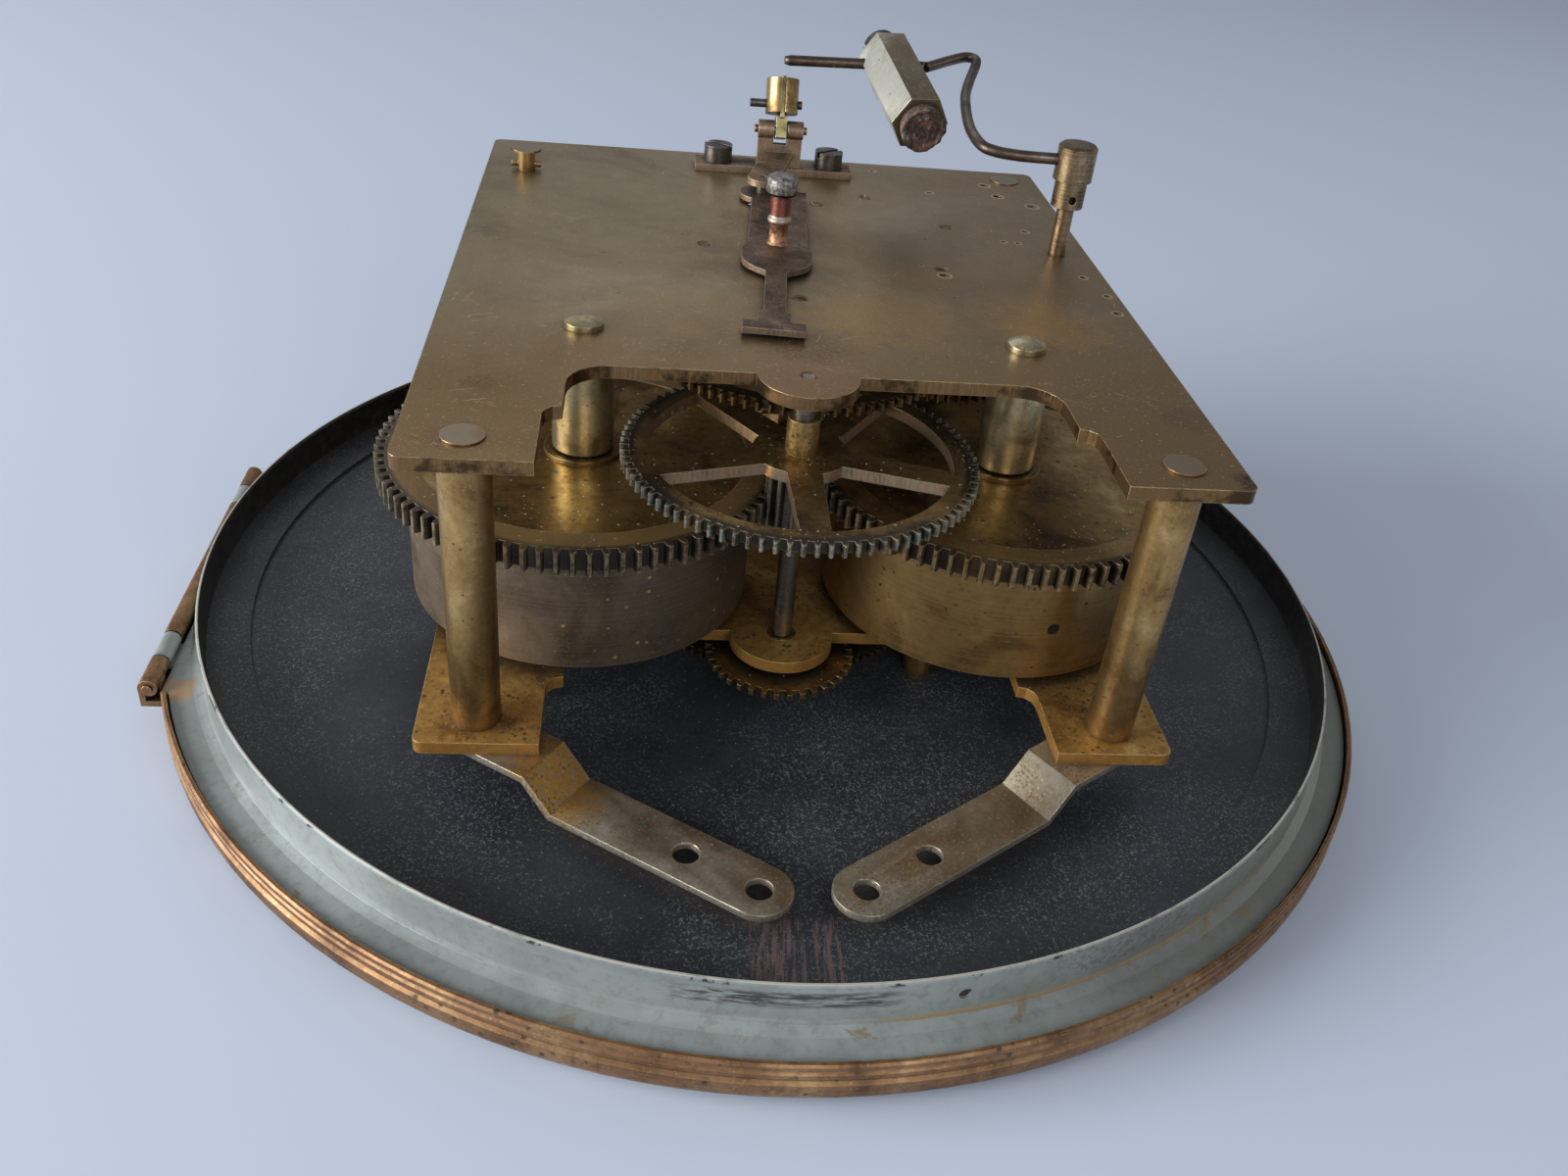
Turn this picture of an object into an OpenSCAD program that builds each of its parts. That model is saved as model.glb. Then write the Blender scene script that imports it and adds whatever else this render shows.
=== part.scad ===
// Spring-driven striking wall-clock movement with its round dial and hinged bezel.
// Millimetres. The origin is on the centre arbor, in the plane the bezel rests on.
// +Z runs along the arbors to the back of the clock, +Y runs to twelve o'clock.

/* [Plates and pillars] */
// Width of both plates
plate_w = 110; // [108:1:112]
// Height of both plates, from the feet to the top edge
plate_l = 132; // [131:1:134]
// Thickness of each plate
plate_t = 2; // [1.8:0.1:2.2]
// Clear distance between the plates
plate_gap = 43; // [43:0.1:43.5]
// Distance from the lower edge of the plates to the centre arbor
foot_drop = 57; // [56:0.5:58]
// Width of the opening between the two feet
foot_gap = 75; // [74:0.5:76]
// Height of the opening between the two feet
foot_rise = 28.4; // [28:0.1:29]
// Radius of the rear plate's round tab for the second arbor
rear_tab_r = 7.4; // [7:0.1:8]
// Radius of the front plate's round tab
front_tab_r = 8.25; // [8:0.1:9]
// Diameter of the pillars
pillar_d = 7; // [6:0.1:8]

/* [Dial and bezel] */
// Outer radius of the bezel
bezel_r = 102.5; // [102:0.1:103]
// Height of the bezel's wall
bezel_h = 8; // [7.8:0.1:8.2]
// Outer radius of the dial ring's standing wall
ring_r = 96.2; // [96:0.1:96.4]
// Height of the ring's free edge over the resting plane
ring_top = 15.1; // [14.5:0.1:16]
// Height of the dial plate's back over the resting plane
dial_back = 8.2; // [8.1:0.1:8.4]
// Space between the dial plate and the front plate
dial_space = 8.3; // [8.2:0.1:8.6]
// Radius of the glass
glass_r = 94.8; // [94:0.1:95]

/* [Going train] */
// Teeth of each barrel
barrel_teeth = 84; // [80:2:88]
// Leaves of the second pinion
second_leaves = 12; // [10:2:12]
// Teeth of the second wheel
second_teeth = 88; // [84:2:90]
// Leaves of the centre pinion
centre_leaves = 10; // [8:2:12]
// Teeth of the centre wheel
centre_teeth = 80; // [72:2:84]
// Leaves of the third pinion
third_leaves = 8; // [7:1:10]
// Teeth of the third wheel
third_teeth = 60; // [54:2:64]
// Leaves of the escape pinion
escape_leaves = 6; // [6:1:8]
// Teeth of the escape wheel
escape_teeth = 30; // [28:1:36]

/* [Striking train] */
// Leaves of the pin wheel's pinion
pin_leaves = 8; // [8:1:10]
// Teeth of the pin wheel
pin_teeth = 72; // [66:2:78]
// Lifting pins on the pin wheel
lift_pins = 8; // [6:1:10]
// Leaves of the locking pinion
locking_leaves = 8; // [7:1:10]
// Teeth of the locking wheel
locking_teeth = 64; // [56:2:70]
// Leaves of the warning pinion
warning_leaves = 8; // [7:1:10]
// Teeth of the warning wheel
warning_teeth = 56; // [48:2:60]
// Leaves of the fly pinion
fly_leaves = 7; // [6:1:8]

/* [Motion work] */
// Teeth of the cannon wheel
cannon_teeth = 54; // [50:2:56]
// Teeth of the minute wheel
minute_teeth = 36; // [34:2:40]
// Leaves of the minute wheel's pinion
minute_leaves = 6; // [6:1:8]
// Teeth of the hour wheel
hour_teeth = 108; // [100:2:110]
// Direction of the minute hand at rest, from three o'clock
minute_hand_angle = 262; // [250:1:275]
// Direction of the hour hand at rest, from three o'clock
hour_hand_angle = 208; // [200:1:225]

/* [Hammer] */
// Radius of the steel hammer wire
wire_r = 1; // [0.8:0.05:1.1]
// Length of the six-sided hammer head
head_len = 24; // [22:0.5:26]
// Corner radius of the hammer head
head_r = 5.5; // [5:0.1:6]
// Height of the hammer collar's top over the rear plate
collar_top = 19.2; // [18.8:0.1:20]

/* [Mounting straps] */
// Width of a strap
strap_w = 9.4; // [8.6:0.1:10]
// Thickness of a strap
strap_t = 1.2; // [1:0.1:1.3]
// Drop of the strap's free end below its clamped end
strap_drop = 4.6; // [4.2:0.1:5]
// Radius of the screw holes in the straps
strap_hole_r = 1.9; // [1.7:0.1:2.1]
// Distance between the two holes of a strap along the strap
strap_hole_step = 11.6; // [11:0.1:12.5]

/* [Hidden] */
$fn = 48;
big_fn = 120;

// Fits
fit = 0.06;
end_shake = 0.2;
skin = 0.01;

// Levels over the resting plane
front_lo = dial_back + dial_space;
front_hi = front_lo + plate_t;
rear_lo = front_hi + plate_gap;
rear_hi = rear_lo + plate_t;

// Places of the arbors, seen from the back of the clock
centre_at = [0, 0];
second_at = [-1.2, foot_rise - foot_drop];
barrel_x = 33.4;
barrel_y = -15.5;
time_at = [-barrel_x, barrel_y];
strike_at = [barrel_x, barrel_y];
third_at = [-14.6, 22.3];
escape_at = [-3.3, 31];
anchor_at = [-3.1, 47.3];
pin_at = [25.9, 16.9];
locking_at = [30.7, 38.6];
warning_at = [17.5, 53.1];
fly_at = [7.2, 47];
hammer_at = [49, 27.5];
release_at = [44.8, 58.7];
pillar_low = [46.7, 6 - foot_drop];
pillar_high = [48.5, 69.5];
pillar_places = [for (side = [-1, 1], p = [pillar_low, pillar_high]) [side * p.x, p.y]];
foot_places = [[-37, 64], [37, 64], [23.4, -23.6]];
corner_post_at = [-47.4, 56.5];

// Tooth modules follow from the centre distances
function span(a, b) = norm([b.x - a.x, b.y - a.y]);
function modul(a, b, n_a, n_b) = 2 * span(a, b) / (n_a + n_b);
barrel_m = modul(time_at, second_at, barrel_teeth, second_leaves);
second_m = modul(second_at, centre_at, second_teeth, centre_leaves);
centre_m = modul(centre_at, third_at, centre_teeth, third_leaves);
third_m = modul(third_at, escape_at, third_teeth, escape_leaves);
strike_m = modul(strike_at, pin_at, barrel_teeth, pin_leaves);
pin_m = modul(pin_at, locking_at, pin_teeth, locking_leaves);
locking_m = modul(locking_at, warning_at, locking_teeth, warning_leaves);
warning_m = modul(warning_at, fly_at, warning_teeth, fly_leaves);
cannon_m = modul(centre_at, second_at, cannon_teeth, minute_teeth);
hour_m = modul(second_at, centre_at, minute_leaves, hour_teeth);
escape_r = 11.5;

// A tooth of the driver lies in a space of the follower on the line between their arbors
function bearing(a, b) = atan2(b.y - a.y, b.x - a.x);
function mesh(a, b, phase_a, n_a, n_b) =
    bearing(a, b) + 180 + (bearing(a, b) - phase_a) * n_a / n_b - 180 / n_b;
second_phase = mesh(time_at, second_at, 0, barrel_teeth, second_leaves);
centre_phase = mesh(second_at, centre_at, 0, second_teeth, centre_leaves);
third_phase = mesh(centre_at, third_at, 0, centre_teeth, third_leaves);
escape_phase = mesh(third_at, escape_at, 0, third_teeth, escape_leaves);
pin_phase = mesh(strike_at, pin_at, 0, barrel_teeth, pin_leaves);
locking_phase = mesh(pin_at, locking_at, 0, pin_teeth, locking_leaves);
warning_phase = mesh(locking_at, warning_at, 0, locking_teeth, warning_leaves);
fly_phase = mesh(warning_at, fly_at, 0, warning_teeth, fly_leaves);
minute_phase = mesh(centre_at, second_at, 0, cannon_teeth, minute_teeth);
hour_phase = mesh(second_at, centre_at, 0, minute_leaves, hour_teeth);

// Levels of the wheels
barrel_lo = front_hi + 2.4;
barrel_hi = rear_hi - 19.9;
rim_t = 3.6;
second_hi = rear_hi - 12;
second_t = 1.8;
pin_wheel_lo = barrel_hi + 4.4;
centre_wheel_lo = rear_lo - 6.5;
third_wheel_lo = front_hi + 17.5;
escape_wheel_lo = front_hi + 9;
locking_wheel_lo = front_hi + 14.5;
warning_wheel_lo = rear_lo - 5;
wheel_t = 1.4;

// Barrels
drum_r = 26.8;
wall = 1.2;
core_r = 6;
winding_r = 3;
bush_r = 4.7;

// Tooth form: a cycloidal wheel tooth over radial flanks, a leaf with radial flanks
wheel_add = 1.15;
twin_add = 0.82;
wheel_ded = 1.0;
wheel_thick = 1.42;
leaf_add = 0.55;
leaf_ded = 1.42;
leaf_thick = 1.05;
flank_steps = 2;

// Points on an epicycloid drawn by a circle g rolling on a circle of radius big
function epi(big, g, t) = [
    (big + g) * cos(t) - g * cos((big + g) / g * t),
    (big + g) * sin(t) - g * sin((big + g) / g * t)];
function epi_turn(big, g, rho) =
    acos(((big + g) ^ 2 + g ^ 2 - rho ^ 2) / (2 * (big + g) * g)) * g / big;
function polar(r, a) = [r * cos(a), r * sin(a)];
function turned(p, a) = [p.x * cos(a) - p.y * sin(a), p.x * sin(a) + p.y * cos(a)];
function flipped(p) = [p.x, -p.y];
function reversed(list) = [for (i = [len(list) - 1:-1:0]) list[i]];

// One flank of a wheel tooth, from its root to its tip
function wheel_flank(n, m, g, add) = let (
    r = n * m / 2, half = deg(wheel_thick * m / 2 / r), last = epi_turn(r, g, r + add * m))
    concat([polar(r - wheel_ded * m, -half)],
        [for (i = [0:flank_steps]) turned(epi(r, g, last * i / flank_steps), -half)]);
function leaf_flank(n, m) = let (r = n * m / 2, half = deg(leaf_thick * m / 2 / r)) [
    polar(r - leaf_ded * m, -half), polar(r, -half),
    polar(r + leaf_add * m * 0.7, -half * 0.72), polar(r + leaf_add * m, -half * 0.3)];
function deg(radians) = radians * 180 / PI;
function toothed(n, flank, phase) = [for (k = [0:n - 1])
    each [for (p = concat(flank, [for (q = reversed(flank)) flipped(q)])) turned(p, phase + k * 360 / n)]];

module wheel_blank(n, m, mate_r, phase, add = wheel_add) {
    polygon(toothed(n, wheel_flank(n, m, mate_r / 2, add), phase));
}

// Crossings: tapered spokes between the rim and the hub
module crossed(n, m, mate_r, phase, hub, rim, spokes, spoke_w, add = wheel_add, spoke_turn = 0) {
    inner = n * m / 2 - wheel_ded * m - rim;
    difference() {
        wheel_blank(n, m, mate_r, phase, add);
        difference() {
            circle(inner, $fn = big_fn);
            circle(hub);
            for (k = [0:spokes - 1]) rotate(phase + spoke_turn + k * 360 / spokes)
                polygon([[0, -spoke_w * 0.65], [inner + rim / 2, -spoke_w / 2],
                    [inner + rim / 2, spoke_w / 2], [0, spoke_w * 0.65]]);
        }
    }
}

module pinion(n, m, phase, lo, hi) {
    translate([0, 0, lo]) linear_extrude(hi - lo) polygon(toothed(n, leaf_flank(n, m), phase));
}

module shaft(r, lo, hi) {
    translate([0, 0, lo]) cylinder(r = r, h = hi - lo);
}

module ring(outer, inner, lo, hi) {
    difference() {
        shaft(outer, lo, hi);
        shaft(inner, lo - 1, hi + 1);
    }
}

module at(place) {
    translate([place.x, place.y, 0]) children();
}

// An arbor between the plates: a body with a thinner pivot at each end
module arbor(r, pivot_r, lo = front_lo, hi = rear_hi) {
    shaft(r, front_hi + end_shake, rear_lo - end_shake);
    shaft(pivot_r, lo + end_shake, hi - end_shake);
}

// Plates
train_pivot = 0.7;
hammer_r = 1.5;
release_r = 1.2;
centre_front_r = 1.9;
plain_pivots = [third_at, escape_at, pin_at, locking_at, warning_at, fly_at];
tenon_r = 2.5;
screw_r = 1.5;

module notch_corner() {
    shoulder = 13;
    polygon(concat([[-1, -1], [foot_gap / 2, -1], [foot_gap / 2, shoulder]],
        [for (a = [0:30:90]) [foot_gap / 2 - 2.5 + 2.5 * cos(a), shoulder + 2.5 * sin(a)]],
        [for (a = [0:15:90]) [foot_gap / 2 - 8.5 + 6 * cos(a), foot_rise - 6 + 6 * sin(a)]],
        [[-1, foot_rise]]));
}

module plate_outline(tab_r) {
    corner = 1.5;
    difference() {
        translate([-plate_w / 2, -foot_drop]) union() {
            translate([corner, 0]) square([plate_w - 2 * corner, plate_l]);
            translate([0, corner]) square([plate_w, plate_l - 2 * corner]);
            for (x = [corner, plate_w - corner], y = [corner, plate_l - corner])
                translate([x, y]) circle(corner, $fn = 24);
        }
        translate([0, -foot_drop]) {
            notch_corner();
            mirror([1, 0]) notch_corner();
        }
    }
    translate(second_at) circle(tab_r);
}

module oil_sink(place) {
    at(place) translate([0, 0, rear_hi - 0.5]) cylinder(r1 = 0.8, r2 = 1.5, h = 0.6);
}

module front_plate() color("goldenrod") difference() {
    translate([0, 0, front_lo]) linear_extrude(plate_t) plate_outline(front_tab_r);
    for (p = plain_pivots) at(p) shaft(train_pivot + fit, front_lo - 1, front_hi + 1);
    for (p = pillar_places) at(p) shaft(screw_r + 0.1, front_lo - 1, front_hi + 1);
    for (p = [time_at, strike_at]) at(p) shaft(winding_r + fit, front_lo - 1, front_hi + 1);
    for (p = [time_at, strike_at]) at(p + click_offset) shaft(click_screw_r, front_lo - 1, front_hi + 1);
    at(centre_at) shaft(centre_front_r + fit, front_lo - 1, front_hi + 1);
    at(anchor_at) shaft(train_pivot + fit, front_lo - 1, front_hi + 1);
    at(hammer_at) shaft(hammer_pivot_r + fit, front_lo - 1, front_hi + 1);
    at(release_at) shaft(release_r + fit, front_lo - 1, front_hi + 1);
    at(second_at) shaft(stud_tenon_r, front_lo - 1, front_hi + 1);
    for (p = foot_places) at(p) {
        shaft(screw_r + 0.1, front_lo - 1, front_hi + 1);
        translate([0, 0, front_hi - 1.4]) cylinder(r1 = screw_r, r2 = screw_r + 1.6, h = 1.6);
    }
}

module rear_plate() color("darkgoldenrod") difference() {
    translate([0, 0, rear_lo]) linear_extrude(plate_t) plate_outline(rear_tab_r);
    for (p = plain_pivots) {
        at(p) shaft(train_pivot + fit, rear_lo - 1, rear_hi + 1);
        oil_sink(p);
    }
    for (p = [second_at, centre_at]) {
        at(p) shaft(1 + fit, rear_lo - 1, rear_hi + 1);
        oil_sink(p);
    }
    for (p = pillar_places) at(p) shaft(tenon_r, rear_lo - 1, rear_hi + 1);
    for (p = [time_at, strike_at]) at(p) shaft(tenon_r, rear_lo - 1, rear_hi + 1);
    at(hammer_at) shaft(hammer_r + fit, rear_lo - 1, rear_hi + 1);
    at(release_at) shaft(train_pivot + fit, rear_lo - 1, rear_hi + 1);
    at(anchor_at) shaft(4, rear_lo - 1, rear_hi + 1);
    at(corner_post_at) shaft(post_r, rear_lo - 1, rear_hi + 1);
    for (x = bridge_screw_x) at([x, bridge_y]) shaft(bridge_thread_r, rear_lo - 1, rear_hi + 1);
}

// Pillars are riveted into the rear plate and screwed to the front plate
module pillars() color("gold") for (p = pillar_places) at(p) difference() {
    union() {
        shaft(pillar_d / 2, front_hi, rear_lo);
        shaft(tenon_r, rear_lo - skin, rear_hi);
        shaft(tenon_r + 0.35, rear_hi, rear_hi + 0.25);
    }
    shaft(screw_r, front_hi - 1, front_hi + 9);
}

module slotted_head(r, h, slot_w, slot_deep) {
    difference() {
        cylinder(r = r, h = h);
        translate([-r - 1, -slot_w / 2, h - slot_deep]) cube([2 * r + 2, slot_w, slot_deep + 1]);
    }
}

module pillar_screws() color("dimgray") for (p = pillar_places) at(p) {
    seat = p.y < 0 ? front_lo - strap_t : front_lo;
    shaft(screw_r - 0.02, seat, front_hi + 7);
    translate([0, 0, seat]) mirror([0, 0, 1]) slotted_head(2.9, 1.6, 0.8, 0.8);
}

// Straps: clamped under the foot, joggled down, with two screw holes near the free end
strap_low = front_lo - strap_t - strap_drop;
strap_angle = -34;
strap_bend = 12.5;
strap_run = 47.6;

module strap_profile() {
    top = front_lo - strap_t;
    slope = strap_drop;
    polygon([[-6, top], [strap_bend - 1, top], [strap_bend + slope - 1, strap_low],
        [strap_run + 6, strap_low], [strap_run + 6, strap_low + strap_t],
        [strap_bend + slope - 0.5, strap_low + strap_t], [strap_bend - 0.5, front_lo], [-6, front_lo]]);
}

module strap() difference() {
    intersection() {
        translate([0, strap_w, 0]) rotate([90, 0, 0]) linear_extrude(2 * strap_w) strap_profile();
        translate([0, 0, strap_low - 1]) linear_extrude(strap_drop + 2 * strap_t + 2) {
            translate([-5, -strap_w / 2]) square([strap_run + 5, strap_w]);
            translate([strap_run, 0]) circle(strap_w / 2);
        }
    }
    shaft(screw_r + 0.1, strap_low - 1, front_lo + 1);
    for (k = [0, 1]) translate([strap_run - k * strap_hole_step, 0, 0])
        shaft(strap_hole_r, strap_low - 1, front_lo + 1);
}

module mounting_strap_left() color("silver") at([-pillar_low.x, pillar_low.y]) rotate(strap_angle) strap();
module mounting_strap_right() color("silver") mirror([1, 0, 0])
    at([-pillar_low.x, pillar_low.y]) rotate(strap_angle) strap();

post_r = 1.6;
module corner_post() color("gold") at(corner_post_at) {
    shaft(post_r, rear_lo, rear_hi + 3.6);
    translate([-2.7, 0, rear_hi + 1.2]) rotate([0, 90, 0]) cylinder(r = 0.6, h = 5.4, $fn = 24);
}

// Barrels
module barrel() {
    difference() {
        union() {
            shaft(drum_r, barrel_lo, barrel_hi);
            translate([0, 0, barrel_hi - rim_t]) linear_extrude(rim_t) difference() {
                wheel_blank(barrel_teeth, barrel_m, second_leaves * barrel_m / 2, 0);
                circle(drum_r - wall);
            }
        }
        shaft(drum_r - wall, barrel_lo + wall, barrel_hi + 1);
        shaft(winding_r + fit, barrel_lo - 1, barrel_hi);
    }
}

module barrel_cap() {
    difference() {
        union() {
            shaft(drum_r - wall, barrel_hi - 1.4, barrel_hi - 0.3);
            shaft(core_r, barrel_hi - 0.4, barrel_hi + 0.2);
        }
        shaft(winding_r + fit, barrel_lo, barrel_hi + 1);
    }
}

// Spiral strip, close on the core and loose towards the wall
spring_turns = 6;
spring_steps = 20;
function spiral(offset) = [for (i = [0:spring_turns * spring_steps])
    polar(core_r + 0.8 + offset + (drum_r - wall - core_r - 2) * (i / spring_turns / spring_steps) ^ 0.8,
        i * 360 / spring_steps)];
module mainspring() {
    translate([0, 0, barrel_lo + wall + 0.3]) linear_extrude(barrel_hi - barrel_lo - wall - 2.1)
        polygon(concat(spiral(0), reversed(spiral(0.5))));
}

module winding_arbor() {
    square_w = 3.9;
    shaft(winding_r, front_lo - 4.2, barrel_lo + wall + 0.2);
    shaft(core_r, barrel_lo + wall + 0.1, barrel_hi - 1.7);
    shaft(winding_r, barrel_hi - 1.8, barrel_hi + 0.5);
    shaft(2, barrel_hi, barrel_hi + 8);
    translate([-square_w / 2, -square_w / 2, dial_back - 0.6]) cube([square_w, square_w, 6]);
}

module time_barrel() color("darkgoldenrod") at(time_at) barrel();
module time_barrel_cap() color("goldenrod") at(time_at) barrel_cap();
module time_mainspring() color("slategray") at(time_at) mainspring();
module time_winding_arbor() color("gray") at(time_at) winding_arbor();
module strike_barrel() color("darkgoldenrod") at(strike_at) barrel();
module strike_barrel_cap() color("goldenrod") at(strike_at) barrel_cap();
module strike_mainspring() color("slategray") at(strike_at) mainspring();
module strike_winding_arbor() color("gray") at(strike_at) winding_arbor();

// Fixed brass bushes with domed rivet heads carry the barrel arbors behind
module barrel_bushes() color("gold") for (p = [time_at, strike_at]) at(p) {
    head_side = 0.9;
    dome_h = 0.8;
    dome_r = (2.9 ^ 2 + dome_h ^ 2) / (2 * dome_h);
    difference() {
        union() {
            shaft(bush_r, barrel_hi + 0.6, rear_lo);
            shaft(tenon_r, rear_lo - skin, rear_hi);
        }
        shaft(2 + fit, barrel_hi, barrel_hi + 8.4);
    }
    intersection() {
        shaft(2.9, rear_hi, rear_hi + head_side + dome_h);
        translate([0, 0, rear_hi + head_side + dome_h - dome_r]) sphere(dome_r);
    }
}

// Ratchets, clicks and their springs lie on the dial side of the front plate
ratchet_r = 8.6;
ratchet_teeth = 20;
click_screw_r = 1.2;
click_aim = 193.6;
click_offset = polar(12.6, 60);
module ratchet() {
    difference() {
        translate([0, 0, front_lo - 2.2]) linear_extrude(2) polygon([for (k = [0:ratchet_teeth - 1])
            each [polar(ratchet_r, -k * 360 / ratchet_teeth),
                polar(ratchet_r - 1.5, -(k + 0.06) * 360 / ratchet_teeth)]]);
        shaft(winding_r, front_lo - 3, front_lo + 1);
    }
}

module click() {
    difference() {
        translate([0, 0, front_lo - 2.2]) linear_extrude(2) union() {
            circle(2.6);
            rotate(click_aim) polygon([[0, -2.2], [7.5, -1.6], [8, 0.2], [7.2, 0.4], [3, 2.2], [0, 2.4]]);
        }
        shaft(click_screw_r + fit, front_lo - 3, front_lo + 1);
    }
}

module time_ratchet() color("gray") at(time_at) ratchet();
module strike_ratchet() color("gray") at(strike_at) ratchet();
module time_click() color("dimgray") at(time_at + click_offset) click();
module strike_click() color("dimgray") at(strike_at + click_offset) click();
module click_screws() color("dimgray") for (p = [time_at, strike_at]) at(p + click_offset) {
    shaft(click_screw_r, front_lo - 2.3, front_hi);
    translate([0, 0, front_lo - 2.3]) mirror([0, 0, 1]) slotted_head(2.2, 1, 0.6, 0.5);
}
module click_springs() color("lightgray") for (p = [time_at, strike_at]) at(p + click_offset)
    rotate(click_aim) translate([0, 0, front_lo - 2]) linear_extrude(2) union() {
        translate([1, -3.8]) square([9, 0.5]);
        translate([9, -6.4]) square([3.4, 3.1]);
    }

// Going train
module second_arbor() color("gray") at(second_at) {
    shaft(1.6, front_hi + end_shake, second_hi);
    shaft(0.9, front_hi - 1.2, front_hi + 1);
    shaft(1.6, second_hi - skin, rear_lo - end_shake);
    shaft(1, rear_lo - 1, rear_hi - end_shake);
    pinion(second_leaves, barrel_m, second_phase, barrel_hi - rim_t - 1.4, second_hi - second_t - 1);
}

module second_wheel() color("darkgoldenrod") at(second_at) difference() {
    union() {
        translate([0, 0, second_hi - second_t]) linear_extrude(second_t)
            crossed(second_teeth, second_m, centre_leaves * second_m / 2, 0, 7.2, 2.6, 5, 4.2, spoke_turn = -18);
        shaft(2.4, second_hi - skin, rear_lo - 4.5);
        shaft(3.2, second_hi - second_t - 1, second_hi - second_t + skin);
    }
    shaft(1.6, front_hi, rear_hi);
}

module centre_wheel() color("goldenrod") at(centre_at) {
    shaft(1.6, front_hi + end_shake, rear_lo - end_shake);
    shaft(1, rear_lo - 1, rear_hi - end_shake);
    shaft(1.5, dial_front - 3.4, front_hi + 1);
    pinion(centre_leaves, second_m, centre_phase, second_hi - second_t - 1.5, second_hi + 1.4);
    translate([0, 0, centre_wheel_lo]) linear_extrude(wheel_t)
        crossed(centre_teeth, centre_m, third_leaves * centre_m / 2, 0, 4.5, 2.2, 5, 2.8);
}

module third_wheel() color("goldenrod") at(third_at) {
    arbor(1.3, train_pivot);
    pinion(third_leaves, centre_m, third_phase, centre_wheel_lo - 1.6, centre_wheel_lo + wheel_t + 1.6);
    translate([0, 0, third_wheel_lo]) linear_extrude(1.2)
        crossed(third_teeth, third_m, escape_leaves * third_m / 2, 0, 3, 1.4, 4, 1.8);
}

module escape_wheel() color("gold") at(escape_at) {
    arbor(0.6, train_pivot - 0.15);
    shaft(0.95, front_hi + end_shake, third_wheel_lo - 2.5);
    shaft(0.95, third_wheel_lo + 3.7, rear_lo - end_shake);
    pinion(escape_leaves, third_m, escape_phase, third_wheel_lo - 2.4, third_wheel_lo + 3.6);
    translate([0, 0, escape_wheel_lo]) linear_extrude(0.8) difference() {
        polygon([for (k = [0:escape_teeth - 1]) each [
            polar(escape_r - 2, (k + 0.1) * 360 / escape_teeth),
            polar(escape_r - 2, (k + 0.8) * 360 / escape_teeth),
            polar(escape_r, (k + 1.08) * 360 / escape_teeth),
            polar(escape_r, (k + 1.12) * 360 / escape_teeth)]]);
        difference() {
            circle(escape_r - 3);
            circle(2.4);
            for (a = [0, 90]) rotate(a) square([2 * escape_r, 1.3], center = true);
        }
    }
}

// Anchor: a bent strip whose pallets stand just clear of the escape teeth
pallet_gap = 0.75;
module anchor() color("gray") at(anchor_at) {
    arm_r = escape_r + pallet_gap;
    drop = span(anchor_at, escape_at);
    tilt = bearing(escape_at, anchor_at) - 90;
    shaft(1.2, front_hi + end_shake, rear_lo - end_shake);
    shaft(train_pivot, front_lo + end_shake, front_hi + 1);
    shaft(1.2, rear_lo - 1, cock_lo - 0.1);
    shaft(train_pivot, cock_lo - 0.2, cock_lo + cock_t - 0.1);
    translate([0, 0, escape_wheel_lo - 0.5]) linear_extrude(1.8) rotate(tilt) union() {
        circle(2.4);
        translate([0, -drop]) intersection() {
            difference() {
                circle(arm_r + 2.2);
                circle(arm_r);
            }
            polygon([[0, 0], polar(30, 42), polar(30, 90), polar(30, 138)]);
        }
        translate([-1.4, arm_r - drop + 1]) square([2.8, drop - arm_r]);
    }
}

// Crutch on the anchor arbor, behind the rear plate, hanging to the photographed side
crutch_lo = rear_hi + 0.5;
crutch_t = 1;
crutch_swing = -5;
crutch_shift = 3.2;
crutch_pin_drop = 26.4;
crutch_side = [[5.1, 2], [5.1, -27.4], [5.55, -28.4], [5.9, -29.8], [6, -31.5], [5.95, -34], [5.5, -36],
    [4.6, -37.5], [3.2, -38.8], [1.75, -40], [1.75, -56.8], [2.5, -57.5], [2.5, -60.8], [4.8, -60.8], [4.8, -63.8]];
module crutch() color("saddlebrown") at(anchor_at) {
    translate([0, 0, crutch_lo]) rotate(crutch_swing) difference() {
        linear_extrude(crutch_t) union() {
            circle(4.2);
            translate([crutch_shift, 0])
                polygon(concat(crutch_side, [for (p = reversed(crutch_side)) [-p.x, p.y]]));
        }
        translate([0, 0, -1]) cylinder(r = 1.2, h = crutch_t + 2);
        translate([crutch_shift, -crutch_pin_drop, -1]) cylinder(r = 1.4, h = crutch_t + 2);
    }
}

module crutch_pin() color("firebrick") at(anchor_at) rotate(crutch_swing)
    translate([crutch_shift, -crutch_pin_drop, 0]) {
        shaft(1.4, crutch_lo, crutch_lo + crutch_t + skin);
        shaft(1.75, crutch_lo + crutch_t, rear_hi + 10.4);
        shaft(2.65, rear_hi + 10.4, rear_hi + 12.6);
        translate([0, 0, rear_hi + 12.6]) cylinder(r1 = 2.65, r2 = 2.2, h = 0.5);
    }

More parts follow.
